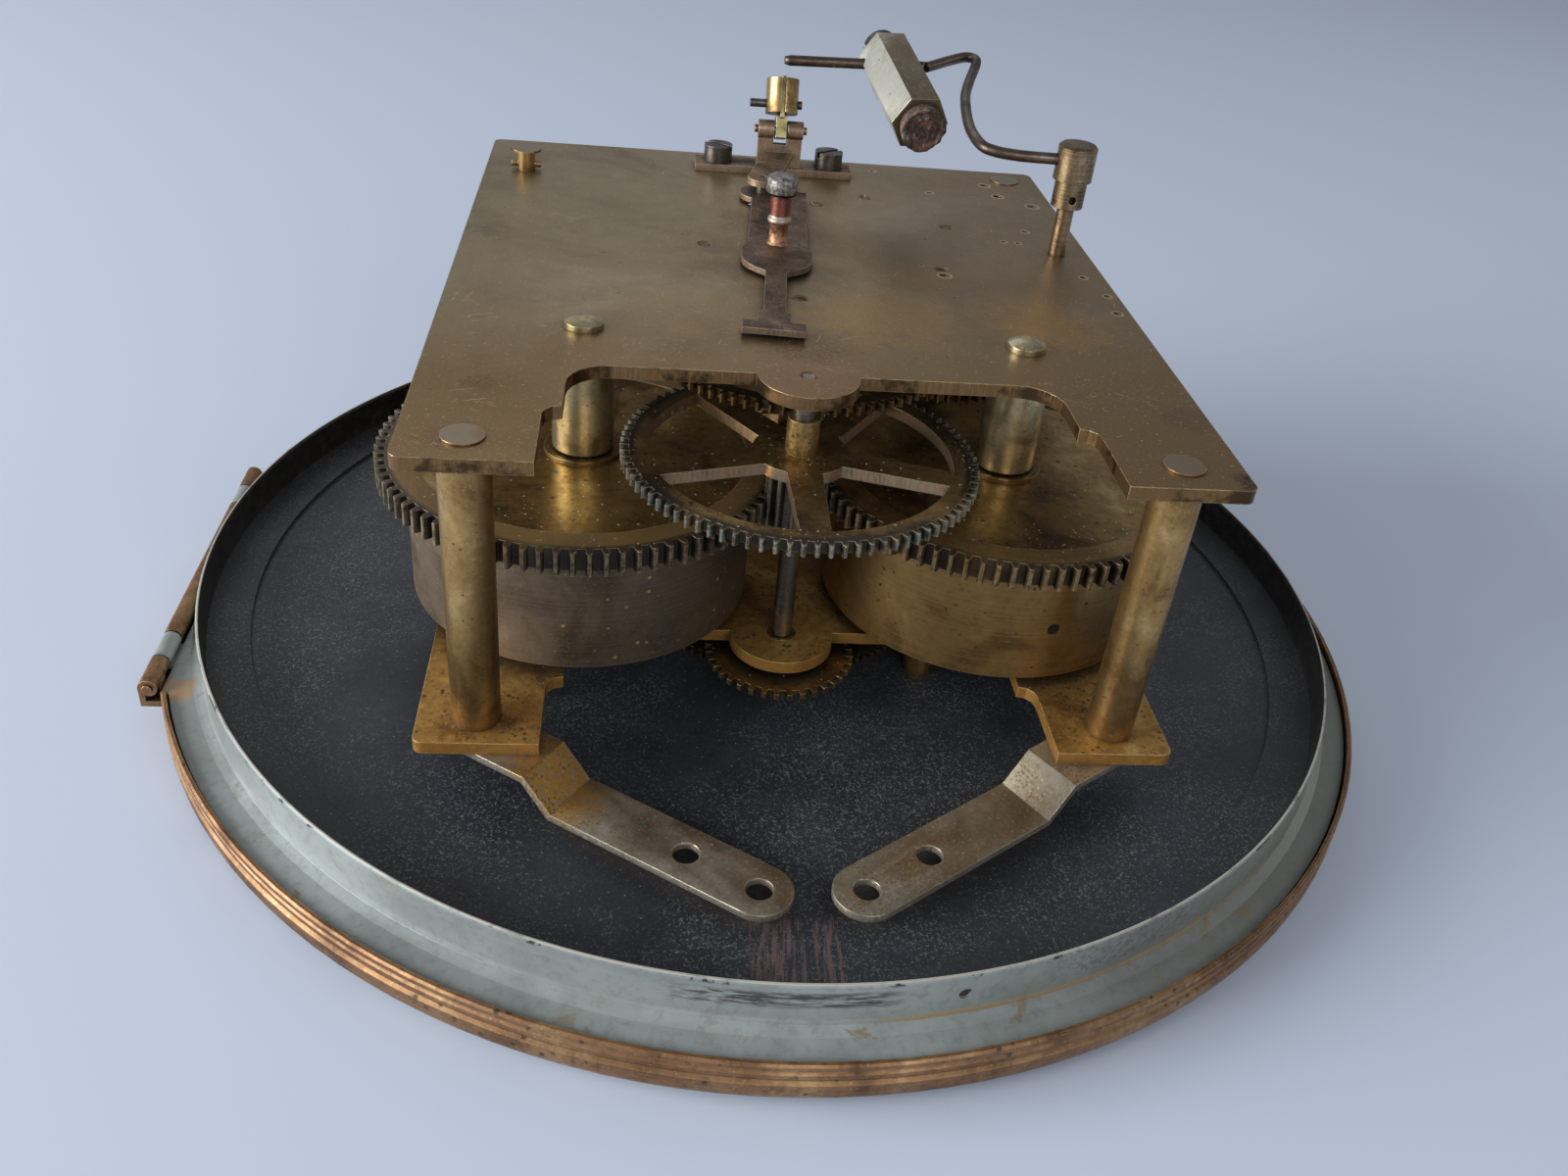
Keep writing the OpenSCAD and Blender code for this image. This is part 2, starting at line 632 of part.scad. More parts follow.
// Suspension bridge: two screwed ears, a raised cock for the anchor pivot and an upright wall
bridge_y = 66;
bridge_screw_x = [-10.8, 11.2];
bridge_thread_r = 1.3;
bridge_t = 1.4;
wall_top = rear_hi + 7;
knuckle_z = rear_hi + 8.6;
knuckle_r = 1.7;
cross_r = 0.75;
cock_lo = rear_hi + 3.2;
cock_t = 1.2;
slot_half = 1.3;
wall_x = 1;
module suspension_bridge() color("saddlebrown") difference() {
    union() {
        translate([-15.3, bridge_y - 3, rear_hi]) cube([31, 6, bridge_t]);
        translate([wall_x - 4.3, bridge_y - 2.4, rear_hi]) cube([8.6, bridge_t, wall_top + 1 - rear_hi]);
        for (side = [-1, 1]) translate([wall_x + side * 2.85 - 1.55, bridge_y - 1.7, knuckle_z])
            rotate([0, 90, 0]) cylinder(r = knuckle_r, h = 3.1);
        translate([0, 0, cock_lo]) linear_extrude(cock_t) union() {
            polygon([[anchor_at.x - 2.9, anchor_at.y], [anchor_at.x + 2.9, anchor_at.y],
                [wall_x + 2.9, bridge_y - 2], [wall_x - 2.9, bridge_y - 2]]);
            translate(anchor_at) circle(2.95);
        }
    }
    for (x = bridge_screw_x) at([x, bridge_y]) shaft(bridge_thread_r + 0.1, rear_hi - 1, rear_hi + 4);
    at(anchor_at) shaft(train_pivot + fit, rear_hi, cock_lo + cock_t + 1);
    translate([wall_x - 6, bridge_y - 1.7, knuckle_z]) rotate([0, 90, 0]) cylinder(r = cross_r, h = 12);
    translate([wall_x - slot_half, bridge_y - 4, wall_top - 1.1]) cube([2 * slot_half, 8, 9]);
}

module bridge_screws() color("slategray") for (x = bridge_screw_x) at([x, bridge_y]) {
    shaft(bridge_thread_r - 0.02, rear_lo + 0.2, rear_hi + bridge_t);
    translate([0, 0, rear_hi + bridge_t]) rotate(x * 3) slotted_head(2.75, 3.2, 0.9, 1);
}

// Suspension spring with its brass clamps, leaning back on the cross pin
lean = 22;
module on_suspension() translate([wall_x, bridge_y - 1.7, knuckle_z]) rotate([-lean, 0, 0]) children();
module suspension_pin() color("gold") translate([wall_x - 5.1, bridge_y - 1.7, knuckle_z])
    rotate([0, 90, 0]) cylinder(r = cross_r - 0.02, h = 10.2);
module suspension_spring() color("khaki") on_suspension() difference() {
    union() {
        translate([-1.05, -1.65, -1.65]) cube([2.1, 3.3, 4.1]);
        translate([-0.4, -2.6, 2]) cube([0.8, 5.2, 7.6]);
    }
    translate([-4, 0, 0]) rotate([0, 90, 0]) cylinder(r = cross_r + fit, h = 8);
}
block_lo = 2.9;
block_h = 6.4;
block_r = 3.15;
module suspension_block() color("gold") on_suspension() difference() {
    translate([0, 0, block_lo]) cylinder(r = block_r, h = block_h);
    translate([-0.4, -block_r - 1, block_lo - 1]) cube([0.8, 2 * block_r + 2, block_h + 2]);
    translate([-5, 0, block_lo + 1.8]) rotate([0, 90, 0]) cylinder(r = 0.8, h = 10);
}
module block_pin() color("dimgray") on_suspension() difference() {
    translate([-6.2, 0, block_lo + 1.8]) rotate([0, 90, 0]) cylinder(r = 0.78, h = 10.1);
    translate([-0.4, -1, block_lo]) cube([0.8, 2, 5]);
}

// Striking train
module pin_wheel() color("goldenrod") at(pin_at) {
    pin_ring = pin_teeth * pin_m / 2 - 3.4;
    arbor(1.5, train_pivot);
    pinion(pin_leaves, strike_m, pin_phase, barrel_hi - rim_t - 1.4, pin_wheel_lo - 1);
    translate([0, 0, pin_wheel_lo]) linear_extrude(wheel_t)
        crossed(pin_teeth, pin_m, locking_leaves * pin_m / 2, 0, 4.2, 3, 4, 2.8);
    for (k = [0:lift_pins - 1]) rotate(22.5 + k * 360 / lift_pins) translate([pin_ring, 0, 0])
        shaft(0.6, pin_wheel_lo + wheel_t - skin, pin_wheel_lo + wheel_t + 3, $fn = 16);
}

module locking_wheel() color("goldenrod") at(locking_at) {
    arbor(1.3, train_pivot);
    pinion(locking_leaves, pin_m, locking_phase, pin_wheel_lo - 1.5, pin_wheel_lo + wheel_t + 1.5);
    translate([0, 0, locking_wheel_lo]) linear_extrude(1.2)
        crossed(locking_teeth, locking_m, warning_leaves * locking_m / 2, 0, 3.6, 2, 4, 2.2);
    rotate(45) translate([locking_teeth * locking_m / 2 - 2.4, 0, 0])
        shaft(0.5, locking_wheel_lo + 1.2 - skin, locking_wheel_lo + 3.2, $fn = 16);
}

module warning_wheel() color("goldenrod") at(warning_at) {
    arbor(1.1, train_pivot);
    pinion(warning_leaves, locking_m, warning_phase, locking_wheel_lo - 1.6, locking_wheel_lo + 2.8);
    translate([0, 0, warning_wheel_lo]) linear_extrude(1)
        crossed(warning_teeth, warning_m, fly_leaves * warning_m / 2, 0, 2.8, 1.3, 4, 1.6);
}

module fly() color("gold") at(fly_at) {
    blade_r = 6.8;
    arbor(0.65, train_pivot - 0.1);
    pinion(fly_leaves, warning_m, fly_phase, warning_wheel_lo - 1.2, warning_wheel_lo + 2.4);
    rotate(20) {
        translate([-blade_r, -0.25, front_hi + 16]) cube([2 * blade_r, 0.5, 15]);
        shaft(1.3, front_hi + 16, front_hi + 31);
    }
}

// Release lever between the plates, and the arm that the cannon's pins lift
release_lo = locking_wheel_lo + 1.6;
module release_lever() color("gray") at(release_at) {
    reach = span(release_at, locking_at) - locking_teeth * locking_m / 2 - 1.6;
    shaft(1.5, front_hi + end_shake, rear_lo - end_shake);
    shaft(train_pivot, rear_lo - 1, rear_hi - end_shake);
    shaft(release_r, front_lo - 3.2, front_hi + 1);
    translate([0, 0, release_lo]) rotate(bearing(release_at, locking_at)) linear_extrude(1.4) union() {
        circle(2.6);
        polygon([[0, -1.4], [reach, -0.8], [reach, 0.8], [0, 1.4]]);
    }
}

lift_lo = front_lo - 3.2;
module lifting_arm() color("gray") at(release_at) difference() {
    translate([0, 0, lift_lo]) rotate(bearing(release_at, centre_at)) linear_extrude(1.2) union() {
        circle(3);
        polygon([[0, -1.8], [50, -1.1], [52, 3.4], [49.5, 3.4], [48.5, 1.1], [0, 1.8]]);
    }
    shaft(release_r, lift_lo - 1, lift_lo + 3);
}

// Hammer
hammer_pivot_r = 1;
module hammer_arbor() color("gold") at(hammer_at) {
    tail = 7.9;
    difference() {
        union() {
            shaft(hammer_r, front_hi + end_shake, rear_hi + collar_top - 1);
            shaft(hammer_pivot_r, front_lo + end_shake, front_hi + 1);
            shaft(2.8, rear_hi + 8.9, rear_hi + 13.6);
            shaft(3.4, rear_hi + 13.6, rear_hi + collar_top);
            translate([0, 0, rear_hi + collar_top - skin]) cylinder(r1 = 3.4, r2 = 2.9, h = 0.5);
            translate([0, 0, pin_wheel_lo + wheel_t + 1]) rotate(bearing(hammer_at, pin_at) - 14)
                linear_extrude(1.6) union() {
                    circle(2.8);
                    polygon([[0, -1.5], [tail, -0.7], [tail, 0.7], [0, 1.5]]);
                }
        }
        translate([0, 0, rear_hi + wire_z]) rotate([0, -90, 0]) cylinder(r = wire_r + 0.02, h = 5);
        translate([0, -4, rear_hi + 10.6]) rotate([-90, 0, 0]) cylinder(r = 0.7, h = 2.4);
    }
}

// The wire's bends, from the collar to its free end, then swept as one round rod
wire_z = 16.9;
wire_run = [-1, -0.03, -0.02];
head_wire = [-27.9, 38.2, 21.8];
wire_knots = concat([[-1, 0, wire_z], [-5, 0, wire_z], [-10.4, 0.1, 17], [-14.4, 1.2, 17.2], [-16.3, 4, 17.5],
    [-16.8, 12.1, 18.3], [-15.3, 24.8, 19.7], [-13.1, 33.6, 20.6], [-10.1, 43, 21.8], [-9.6, 46.2, 22.3],
    [-11.4, 47.2, 22.4], [-15.4, 43.8, 22.2]], [for (d = [-7.4, -5.8, 6, 20.4]) head_wire + d * wire_run]);
wire_steps = 3;
wire_sides = 8;
function knot(i) = wire_knots[max(0, min(len(wire_knots) - 1, i))];
function blend_point(i, t) = let (a = knot(i - 1), b = knot(i), c = knot(i + 1), d = knot(i + 2))
    0.5 * (2 * b + (c - a) * t + (2 * a - 5 * b + 4 * c - d) * t ^ 2 + (3 * b - a - 3 * c + d) * t ^ 3);
wire_path = concat([for (i = [0:len(wire_knots) - 2], k = [0:wire_steps - 1]) blend_point(i, k / wire_steps)],
    [knot(len(wire_knots))]);
function unit(v) = v / norm(v);
function heading(path, i) = unit(path[min(i + 1, len(path) - 1)] - path[max(i - 1, 0)]);
function rod_ring(path, i, r) = let (d = heading(path, i), u = unit(cross(d, [0, 0, 1])), v = cross(d, u))
    [for (k = [0:wire_sides - 1]) let (a = k * 360 / wire_sides) path[i] + r * (cos(a) * u + sin(a) * v)];
module rod(path, r) {
    rings = len(path);
    polyhedron(
        points = [for (i = [0:rings - 1]) each rod_ring(path, i, r)],
        faces = concat([[for (k = [0:wire_sides - 1]) k]],
            [for (i = [0:rings - 2], k = [0:wire_sides - 1]) let (
                a = i * wire_sides + k, b = i * wire_sides + (k + 1) % wire_sides)
                [a, a + wire_sides, b + wire_sides, b]],
            [[for (k = [wire_sides - 1:-1:0]) (rings - 1) * wire_sides + k]]));
}
module hammer_wire() color("dimgray") at(hammer_at) translate([0, 0, rear_hi]) rod(wire_path, wire_r);

// Hammer head: a six-sided bar clamped on the wire, its leather tip towards the gong
head_turn = 10;
head_lift = 15;
head_hold = 0.86;
module on_head() at(hammer_at) translate([0, 0, rear_hi]) translate(head_wire)
    rotate([head_lift - 90, 0, head_turn]) children();
module wire_bore() at(hammer_at) translate([0, 0, rear_hi]) translate(head_wire)
    rotate([0, acos(unit(wire_run).z), atan2(wire_run.y, wire_run.x)])
    cylinder(r = wire_r + 0.02, h = 30, center = true);
module hammer_head() color("khaki") difference() {
    on_head() translate([0, 0, -head_hold * head_len]) {
        cylinder(r = head_r, h = head_len, $fn = 6);
    }
    wire_bore();
    on_head() shaft(1.6, 1, head_len);
    on_head() shaft(3.6, -head_hold * head_len - 1, -head_hold * head_len + 3);
}
module hammer_leather() color("sienna") on_head() {
    shaft(3.55, -head_hold * head_len - 0.5, -head_hold * head_len + 2.9);
    translate([0, 0, -head_hold * head_len - 3]) cylinder(r1 = 3.4, r2 = 4.7, h = 3);
}
module hammer_screw() color("dimgray") on_head() {
    top = (1 - head_hold) * head_len;
    shaft(1.55, 1.2, top);
    translate([0, 0, top]) slotted_head(3.3, 4, 0.8, 1);
}

// Motion work
dial_front = dial_back - 1.3;
pipe_r = 2.6;
hour_pipe_r = 4;
cannon_lo = front_lo - 2.4;
hour_lo = dial_back + 1.2;
module cannon_wheel() color("goldenrod") at(centre_at) difference() {
    union() {
        translate([0, 0, cannon_lo]) linear_extrude(1)
            crossed(cannon_teeth, cannon_m, minute_teeth * cannon_m / 2, 0, 5, 2, 4, 3, twin_add);
        shaft(pipe_r, dial_front - 3, cannon_lo + 1.8);
        for (a = [100, 280]) rotate(a) translate([12, 0, 0]) shaft(0.6, cannon_lo - 1.4, cannon_lo + skin, $fn = 16);
    }
    shaft(1.5, dial_front - 5, front_lo + 1);
}

module minute_stud() color("gold") at(second_at) difference() {
    union() {
        shaft(stud_tenon_r, front_lo, front_hi);
        shaft(3, front_lo - 0.5, front_lo);
        shaft(stud_r, dial_back + 0.5, front_lo);
    }
    shaft(0.9 + fit, front_hi - 1.4, front_hi + 1);
}
stud_r = 0.65;
stud_tenon_r = 2.4;
module minute_wheel() color("darkgoldenrod") at(second_at) difference() {
    union() {
        translate([0, 0, cannon_lo]) linear_extrude(1)
            wheel_blank(minute_teeth, cannon_m, cannon_teeth * cannon_m / 2, minute_phase, twin_add);
        pinion(minute_leaves, hour_m, 0, dial_back + 0.8, cannon_lo + skin);
        shaft(1.4, cannon_lo - 1.2, cannon_lo + 1.6);
    }
    shaft(stud_r + fit, dial_back, front_lo);
}

module hour_wheel() color("goldenrod") at(centre_at) difference() {
    union() {
        translate([0, 0, hour_lo]) linear_extrude(0.9)
            crossed(hour_teeth, hour_m, minute_leaves * hour_m / 2, hour_phase, 7, 2, 5, 3);
        shaft(hour_pipe_r, dial_front - 1.7, hour_lo + 1.4);
    }
    shaft(pipe_r + fit, dial_front - 3, hour_lo + 3);
}

module hand(length, tail, w, eye, thick, bore, lo) {
    translate([0, 0, lo]) linear_extrude(thick) difference() {
        union() {
            circle(eye);
            polygon([[0, -w * 0.5], [length * 0.55, -w], [length, 0], [length * 0.55, w], [0, w * 0.5]]);
            polygon([[0, -w * 0.5], [-tail, -w], [-tail, w], [0, w * 0.5]]);
        }
        circle(bore);
    }
}
module hour_hand() color("black") at(centre_at) rotate(hour_hand_angle)
    hand(56, 12, 2.6, 6.5, 0.5, hour_pipe_r, dial_front - 1.7);
module minute_hand() color("black") at(centre_at) rotate(minute_hand_angle)
    hand(82, 16, 2.2, 5, 0.5, pipe_r, dial_front - 3);

// Dial plate with its raised step near the wall
winding_hole_r = 4.4;
module dial_plate() color("black") difference() {
    union() {
        shaft(ring_r - 0.7, dial_front, dial_back, $fn = big_fn);
        difference() {
            shaft(ring_r - 0.7, dial_back - skin, dial_back + 0.7, $fn = big_fn);
            shaft(ring_r - 7.5, dial_back - 1, dial_back + 2, $fn = big_fn);
        }
    }
    shaft(hour_pipe_r + 0.6, dial_front - 1, dial_back + 2);
    for (p = [time_at, strike_at]) at(p) shaft(winding_hole_r, dial_front - 1, dial_back + 2);
    for (p = foot_places) at(p) shaft(2, dial_back - 0.8, dial_back + 2);
}

module dial_feet() color("gold") for (p = foot_places) at(p) difference() {
    union() {
        shaft(2, dial_back - 0.8, dial_back);
        shaft(2.6, dial_back, front_lo);
    }
    shaft(screw_r, front_lo - 5, front_lo + 1);
}
module dial_screws() color("dimgray") for (p = foot_places) at(p) {
    shaft(screw_r - 0.02, front_lo - 4, front_hi - 0.6);
    translate([0, 0, front_hi - 1.1]) difference() {
        cylinder(r1 = screw_r, r2 = screw_r + 1.2, h = 1.1);
        translate([-4, -0.4, 0.6]) cube([8, 0.8, 1]);
    }
}

// Dial ring: standing wall with a turned edge, a flange, and the wing with the hinge knuckles
flange_r = 101.3;
flange_lo = 6.4;
flange_t = 0.6;
hinge_x = -98.6;
hinge_z = bezel_h;
hinge_r = 1.45;
hinge_pin_r = 0.75;
hinge_half = 33.5;
wing_x = hinge_x + 1.75;
wing_half = 32.8;
ring_knuckles = [[-26.5, -20.5], [20.5, 26.5]];
bezel_knuckles = [[-hinge_half, -27], [-20, 20], [27, hinge_half]];
module knuckle(span_y) {
    translate([hinge_x, span_y[1], hinge_z]) rotate([90, 0, 0])
        cylinder(r = hinge_r, h = span_y[1] - span_y[0]);
}
module dial_ring() color("darkslategray") difference() {
    union() {
        difference() {
            rotate_extrude($fn = big_fn) polygon([
                [ring_r - 3, flange_lo], [flange_r, flange_lo], [flange_r, flange_lo + flange_t],
                [ring_r + 1.6, flange_lo + flange_t + 0.3], [ring_r + 0.2, flange_lo + 1.6],
                [ring_r, flange_lo + 2.4], [ring_r, ring_top - 0.4], [ring_r - 0.2, ring_top],
                [ring_r - 0.5, ring_top], [ring_r - 0.7, ring_top - 0.4], [ring_r - 0.7, flange_lo + 0.5],
                [ring_r - 3, flange_lo + 0.5]]);
            translate([wing_x - 9, -hinge_half - 0.2, flange_lo - 1]) cube([9, 2 * hinge_half + 0.4, 4]);
        }
        for (side = [-1, 1]) translate([wing_x, side < 0 ? -wing_half : 14, flange_lo])
            cube([2.2, wing_half - 14, flange_t]);
        for (k = ring_knuckles) {
            knuckle(k);
            translate([hinge_x, k[0], flange_lo]) cube([3, k[1] - k[0], flange_t]);
        }
    }
    translate([hinge_x, hinge_half + 1, hinge_z]) rotate([90, 0, 0])
        cylinder(r = hinge_pin_r + 0.02, h = 2 * hinge_half + 2);
    rotate(-79.5) translate([ring_r - 3, 0, 11.6]) rotate([0, 90, 0]) cylinder(r = 0.9, h = 6);
}

module hinge_pin() color("gold") translate([hinge_x, hinge_half + 0.4, hinge_z]) rotate([90, 0, 0])
    cylinder(r = hinge_pin_r, h = 2 * hinge_half + 0.8);

// Bezel: a moulded ring with beads, a rebate for the glass, and one hinge leaf
lip = 1;
notch_lo = flange_lo - 0.5;
leaf_lo = notch_lo - 1.4;
module bezel() color("peru") difference() {
    union() {
        difference() {
            rotate_extrude($fn = big_fn) polygon(concat(
                [[glass_r - 2.6, 0.4], [glass_r - 1.8, 0], [bezel_r - 3.2, 0]],
                [for (a = [-75:15:0]) [bezel_r - 3.2 + 3.2 * cos(a), 3.2 + 3.2 * sin(a)]],
                [[bezel_r, 4.4], [bezel_r - 0.45, 4.8], [bezel_r - 0.45, 5.2], [bezel_r - 0.1, 5.6],
                    [bezel_r - 0.1, 6.2], [bezel_r - 0.45, 6.6], [bezel_r - 0.1, 7], [bezel_r - 0.1, bezel_h - 0.3],
                    [bezel_r - 0.4, bezel_h], [bezel_r - 0.9, bezel_h], [bezel_r - 1, 3.4],
                    [bezel_r - 1.6, 2], [bezel_r - 2.8, 1.2], [glass_r + 1.2, 1.2], [glass_r + 1.2, 3.4],
                    [glass_r + 0.1, 3.4], [glass_r + 0.1, lip], [glass_r - 2.6, lip]]));
            translate([hinge_x - hinge_r - 9, -hinge_half, -1]) cube([9, 2 * hinge_half, bezel_h + 2]);
        }
        translate([hinge_x - hinge_r, -22, 0.3]) cube([0.9, 44, hinge_z - 0.3]);
        for (k = bezel_knuckles) {
            knuckle(k);
            translate([hinge_x - hinge_r, k[0], leaf_lo]) cube([0.9, k[1] - k[0], hinge_z - leaf_lo]);
        }
        for (y = [-hinge_half, 27]) translate([hinge_x - hinge_r, y, leaf_lo]) cube([4.3, 6.5, 1]);
    }
    translate([hinge_x, hinge_half + 1, hinge_z]) rotate([90, 0, 0])
        cylinder(r = hinge_pin_r + fit, h = 2 * hinge_half + 2);
    translate([hinge_x + hinge_r + 0.1, -hinge_half - 0.5, notch_lo]) cube([9, 2 * hinge_half + 1, 5]);
    for (k = ring_knuckles) translate([hinge_x - 3, k[0] - 0.5, notch_lo]) cube([9, k[1] - k[0] + 1, 5]);
}

module glass() color("lightblue") shaft(glass_r, lip + 0.05, lip + 1.6, $fn = big_fn);

front_plate();
rear_plate();
pillars();
pillar_screws();
mounting_strap_left();
mounting_strap_right();
corner_post();
time_barrel();
time_barrel_cap();
time_mainspring();
time_winding_arbor();
time_ratchet();
time_click();
strike_barrel();
strike_barrel_cap();
strike_mainspring();
strike_winding_arbor();
strike_ratchet();
strike_click();
click_springs();
click_screws();
barrel_bushes();
second_arbor();
second_wheel();
centre_wheel();
third_wheel();
escape_wheel();
anchor();
crutch();
crutch_pin();
suspension_bridge();
bridge_screws();
suspension_pin();
suspension_spring();
suspension_block();
block_pin();
pin_wheel();
locking_wheel();
warning_wheel();
fly();
release_lever();
lifting_arm();
hammer_arbor();
hammer_wire();
hammer_head();
hammer_leather();
hammer_screw();
cannon_wheel();
minute_wheel();
minute_stud();
hour_wheel();
hour_hand();
minute_hand();
dial_ring();
dial_plate();
dial_feet();
dial_screws();
bezel();
glass();
hinge_pin();
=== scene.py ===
import bpy
import bmesh
import numpy as np
from math import radians, pi, sin, cos
from mathutils import Euler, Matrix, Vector


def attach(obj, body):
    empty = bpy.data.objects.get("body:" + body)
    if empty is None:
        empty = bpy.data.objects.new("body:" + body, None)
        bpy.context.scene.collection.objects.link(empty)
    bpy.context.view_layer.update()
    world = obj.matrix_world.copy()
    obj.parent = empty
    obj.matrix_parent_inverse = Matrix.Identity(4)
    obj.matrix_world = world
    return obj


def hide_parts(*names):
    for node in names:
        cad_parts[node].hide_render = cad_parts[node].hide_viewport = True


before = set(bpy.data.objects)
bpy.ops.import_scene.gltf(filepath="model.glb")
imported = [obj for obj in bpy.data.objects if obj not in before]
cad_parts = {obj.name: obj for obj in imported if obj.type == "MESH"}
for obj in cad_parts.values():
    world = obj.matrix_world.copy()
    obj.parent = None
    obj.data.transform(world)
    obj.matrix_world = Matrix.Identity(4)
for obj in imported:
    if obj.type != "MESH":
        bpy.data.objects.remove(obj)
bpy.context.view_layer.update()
print("stage: packed movement loaded,", len(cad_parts), "parts")

mm = 0.001

# Places of arbors that several pieces share, and the level of the rear plate's outer face, in mm
leftBarrel = (-33.4, -15.5)
rightBarrel = (33.4, -15.5)
secondArbor = (-1.2, -28.6)
hammerArbor = (49, 27.5)
anchorArbor = (-3.1, 47.3)
plateTop = 63.5

view = {
    "place": (-0.025518, -0.201407, 0.144049),
    "turn": (0.977124, -0.089765, -0.077687),
    "lens": 30.7602,
    "sensor": 36,
    "clip": (0.01, 50),
}
studio = {
    "floorColour": (0.64, 0.71, 0.84, 1),
    "worldColour": (0.52, 0.545, 0.60, 1),
    "worldLevel": 0.46,
    "floorRough": 0.95,
    "floorCorners": ((-4, -4), (4, -4), (4, 6), (-4, 6)),
    "floorLevel": -0.0002,
}
# Each lamp's place, aim and size in m, its level in W and its colour
lamps = {
    "windowLight": ((-1.15, -0.25, 0.36), (0, 0, 0.03), (0.9, 0.6), 21.0, (0.95, 0.98, 1)),
    "backSky": ((-0.25, 1.0, 0.85), (0, 0, 0.05), (1.2, 0.7), 1.0, (1, 0.97, 0.93)),
    "frontFill": ((0.25, -0.95, 0.55), (0, 0, 0.03), (0.8, 0.5), 3.0, (0.95, 0.97, 1)),
    "rightFill": ((0.85, 0.25, 0.35), (0, 0, 0.05), (0.4, 0.4), 0.4, (1, 0.95, 0.88)),
}


def setCamera():
    camera = bpy.data.objects.new("camera", bpy.data.cameras.new("camera"))
    bpy.context.scene.collection.objects.link(camera)
    camera.location = view["place"]
    camera.rotation_euler = Euler(view["turn"], "XYZ")
    camera.data.lens = view["lens"]
    camera.data.sensor_width = view["sensor"]
    camera.data.clip_start, camera.data.clip_end = view["clip"]
    bpy.context.scene.camera = camera


def softLamp(name, place, aim, size, level, colour):
    lamp = bpy.data.lights.new(name, "AREA")
    lamp.shape = "RECTANGLE"
    lamp.size, lamp.size_y = size
    lamp.energy = level
    lamp.color = colour
    holder = bpy.data.objects.new(name, lamp)
    holder.location = place
    holder.rotation_euler = (Vector(place) - Vector(aim)).to_track_quat("Z", "Y").to_euler()
    bpy.context.scene.collection.objects.link(holder)


def setStudio():
    world = bpy.data.worlds.new("studio")
    bpy.context.scene.world = world
    world.use_nodes = True
    back = world.node_tree.nodes["Background"]
    back.inputs["Color"].default_value = studio["worldColour"]
    back.inputs["Strength"].default_value = studio["worldLevel"]
    for name, row in lamps.items():
        softLamp(name, *row)
    bpy.context.scene.view_settings.view_transform = "Standard"


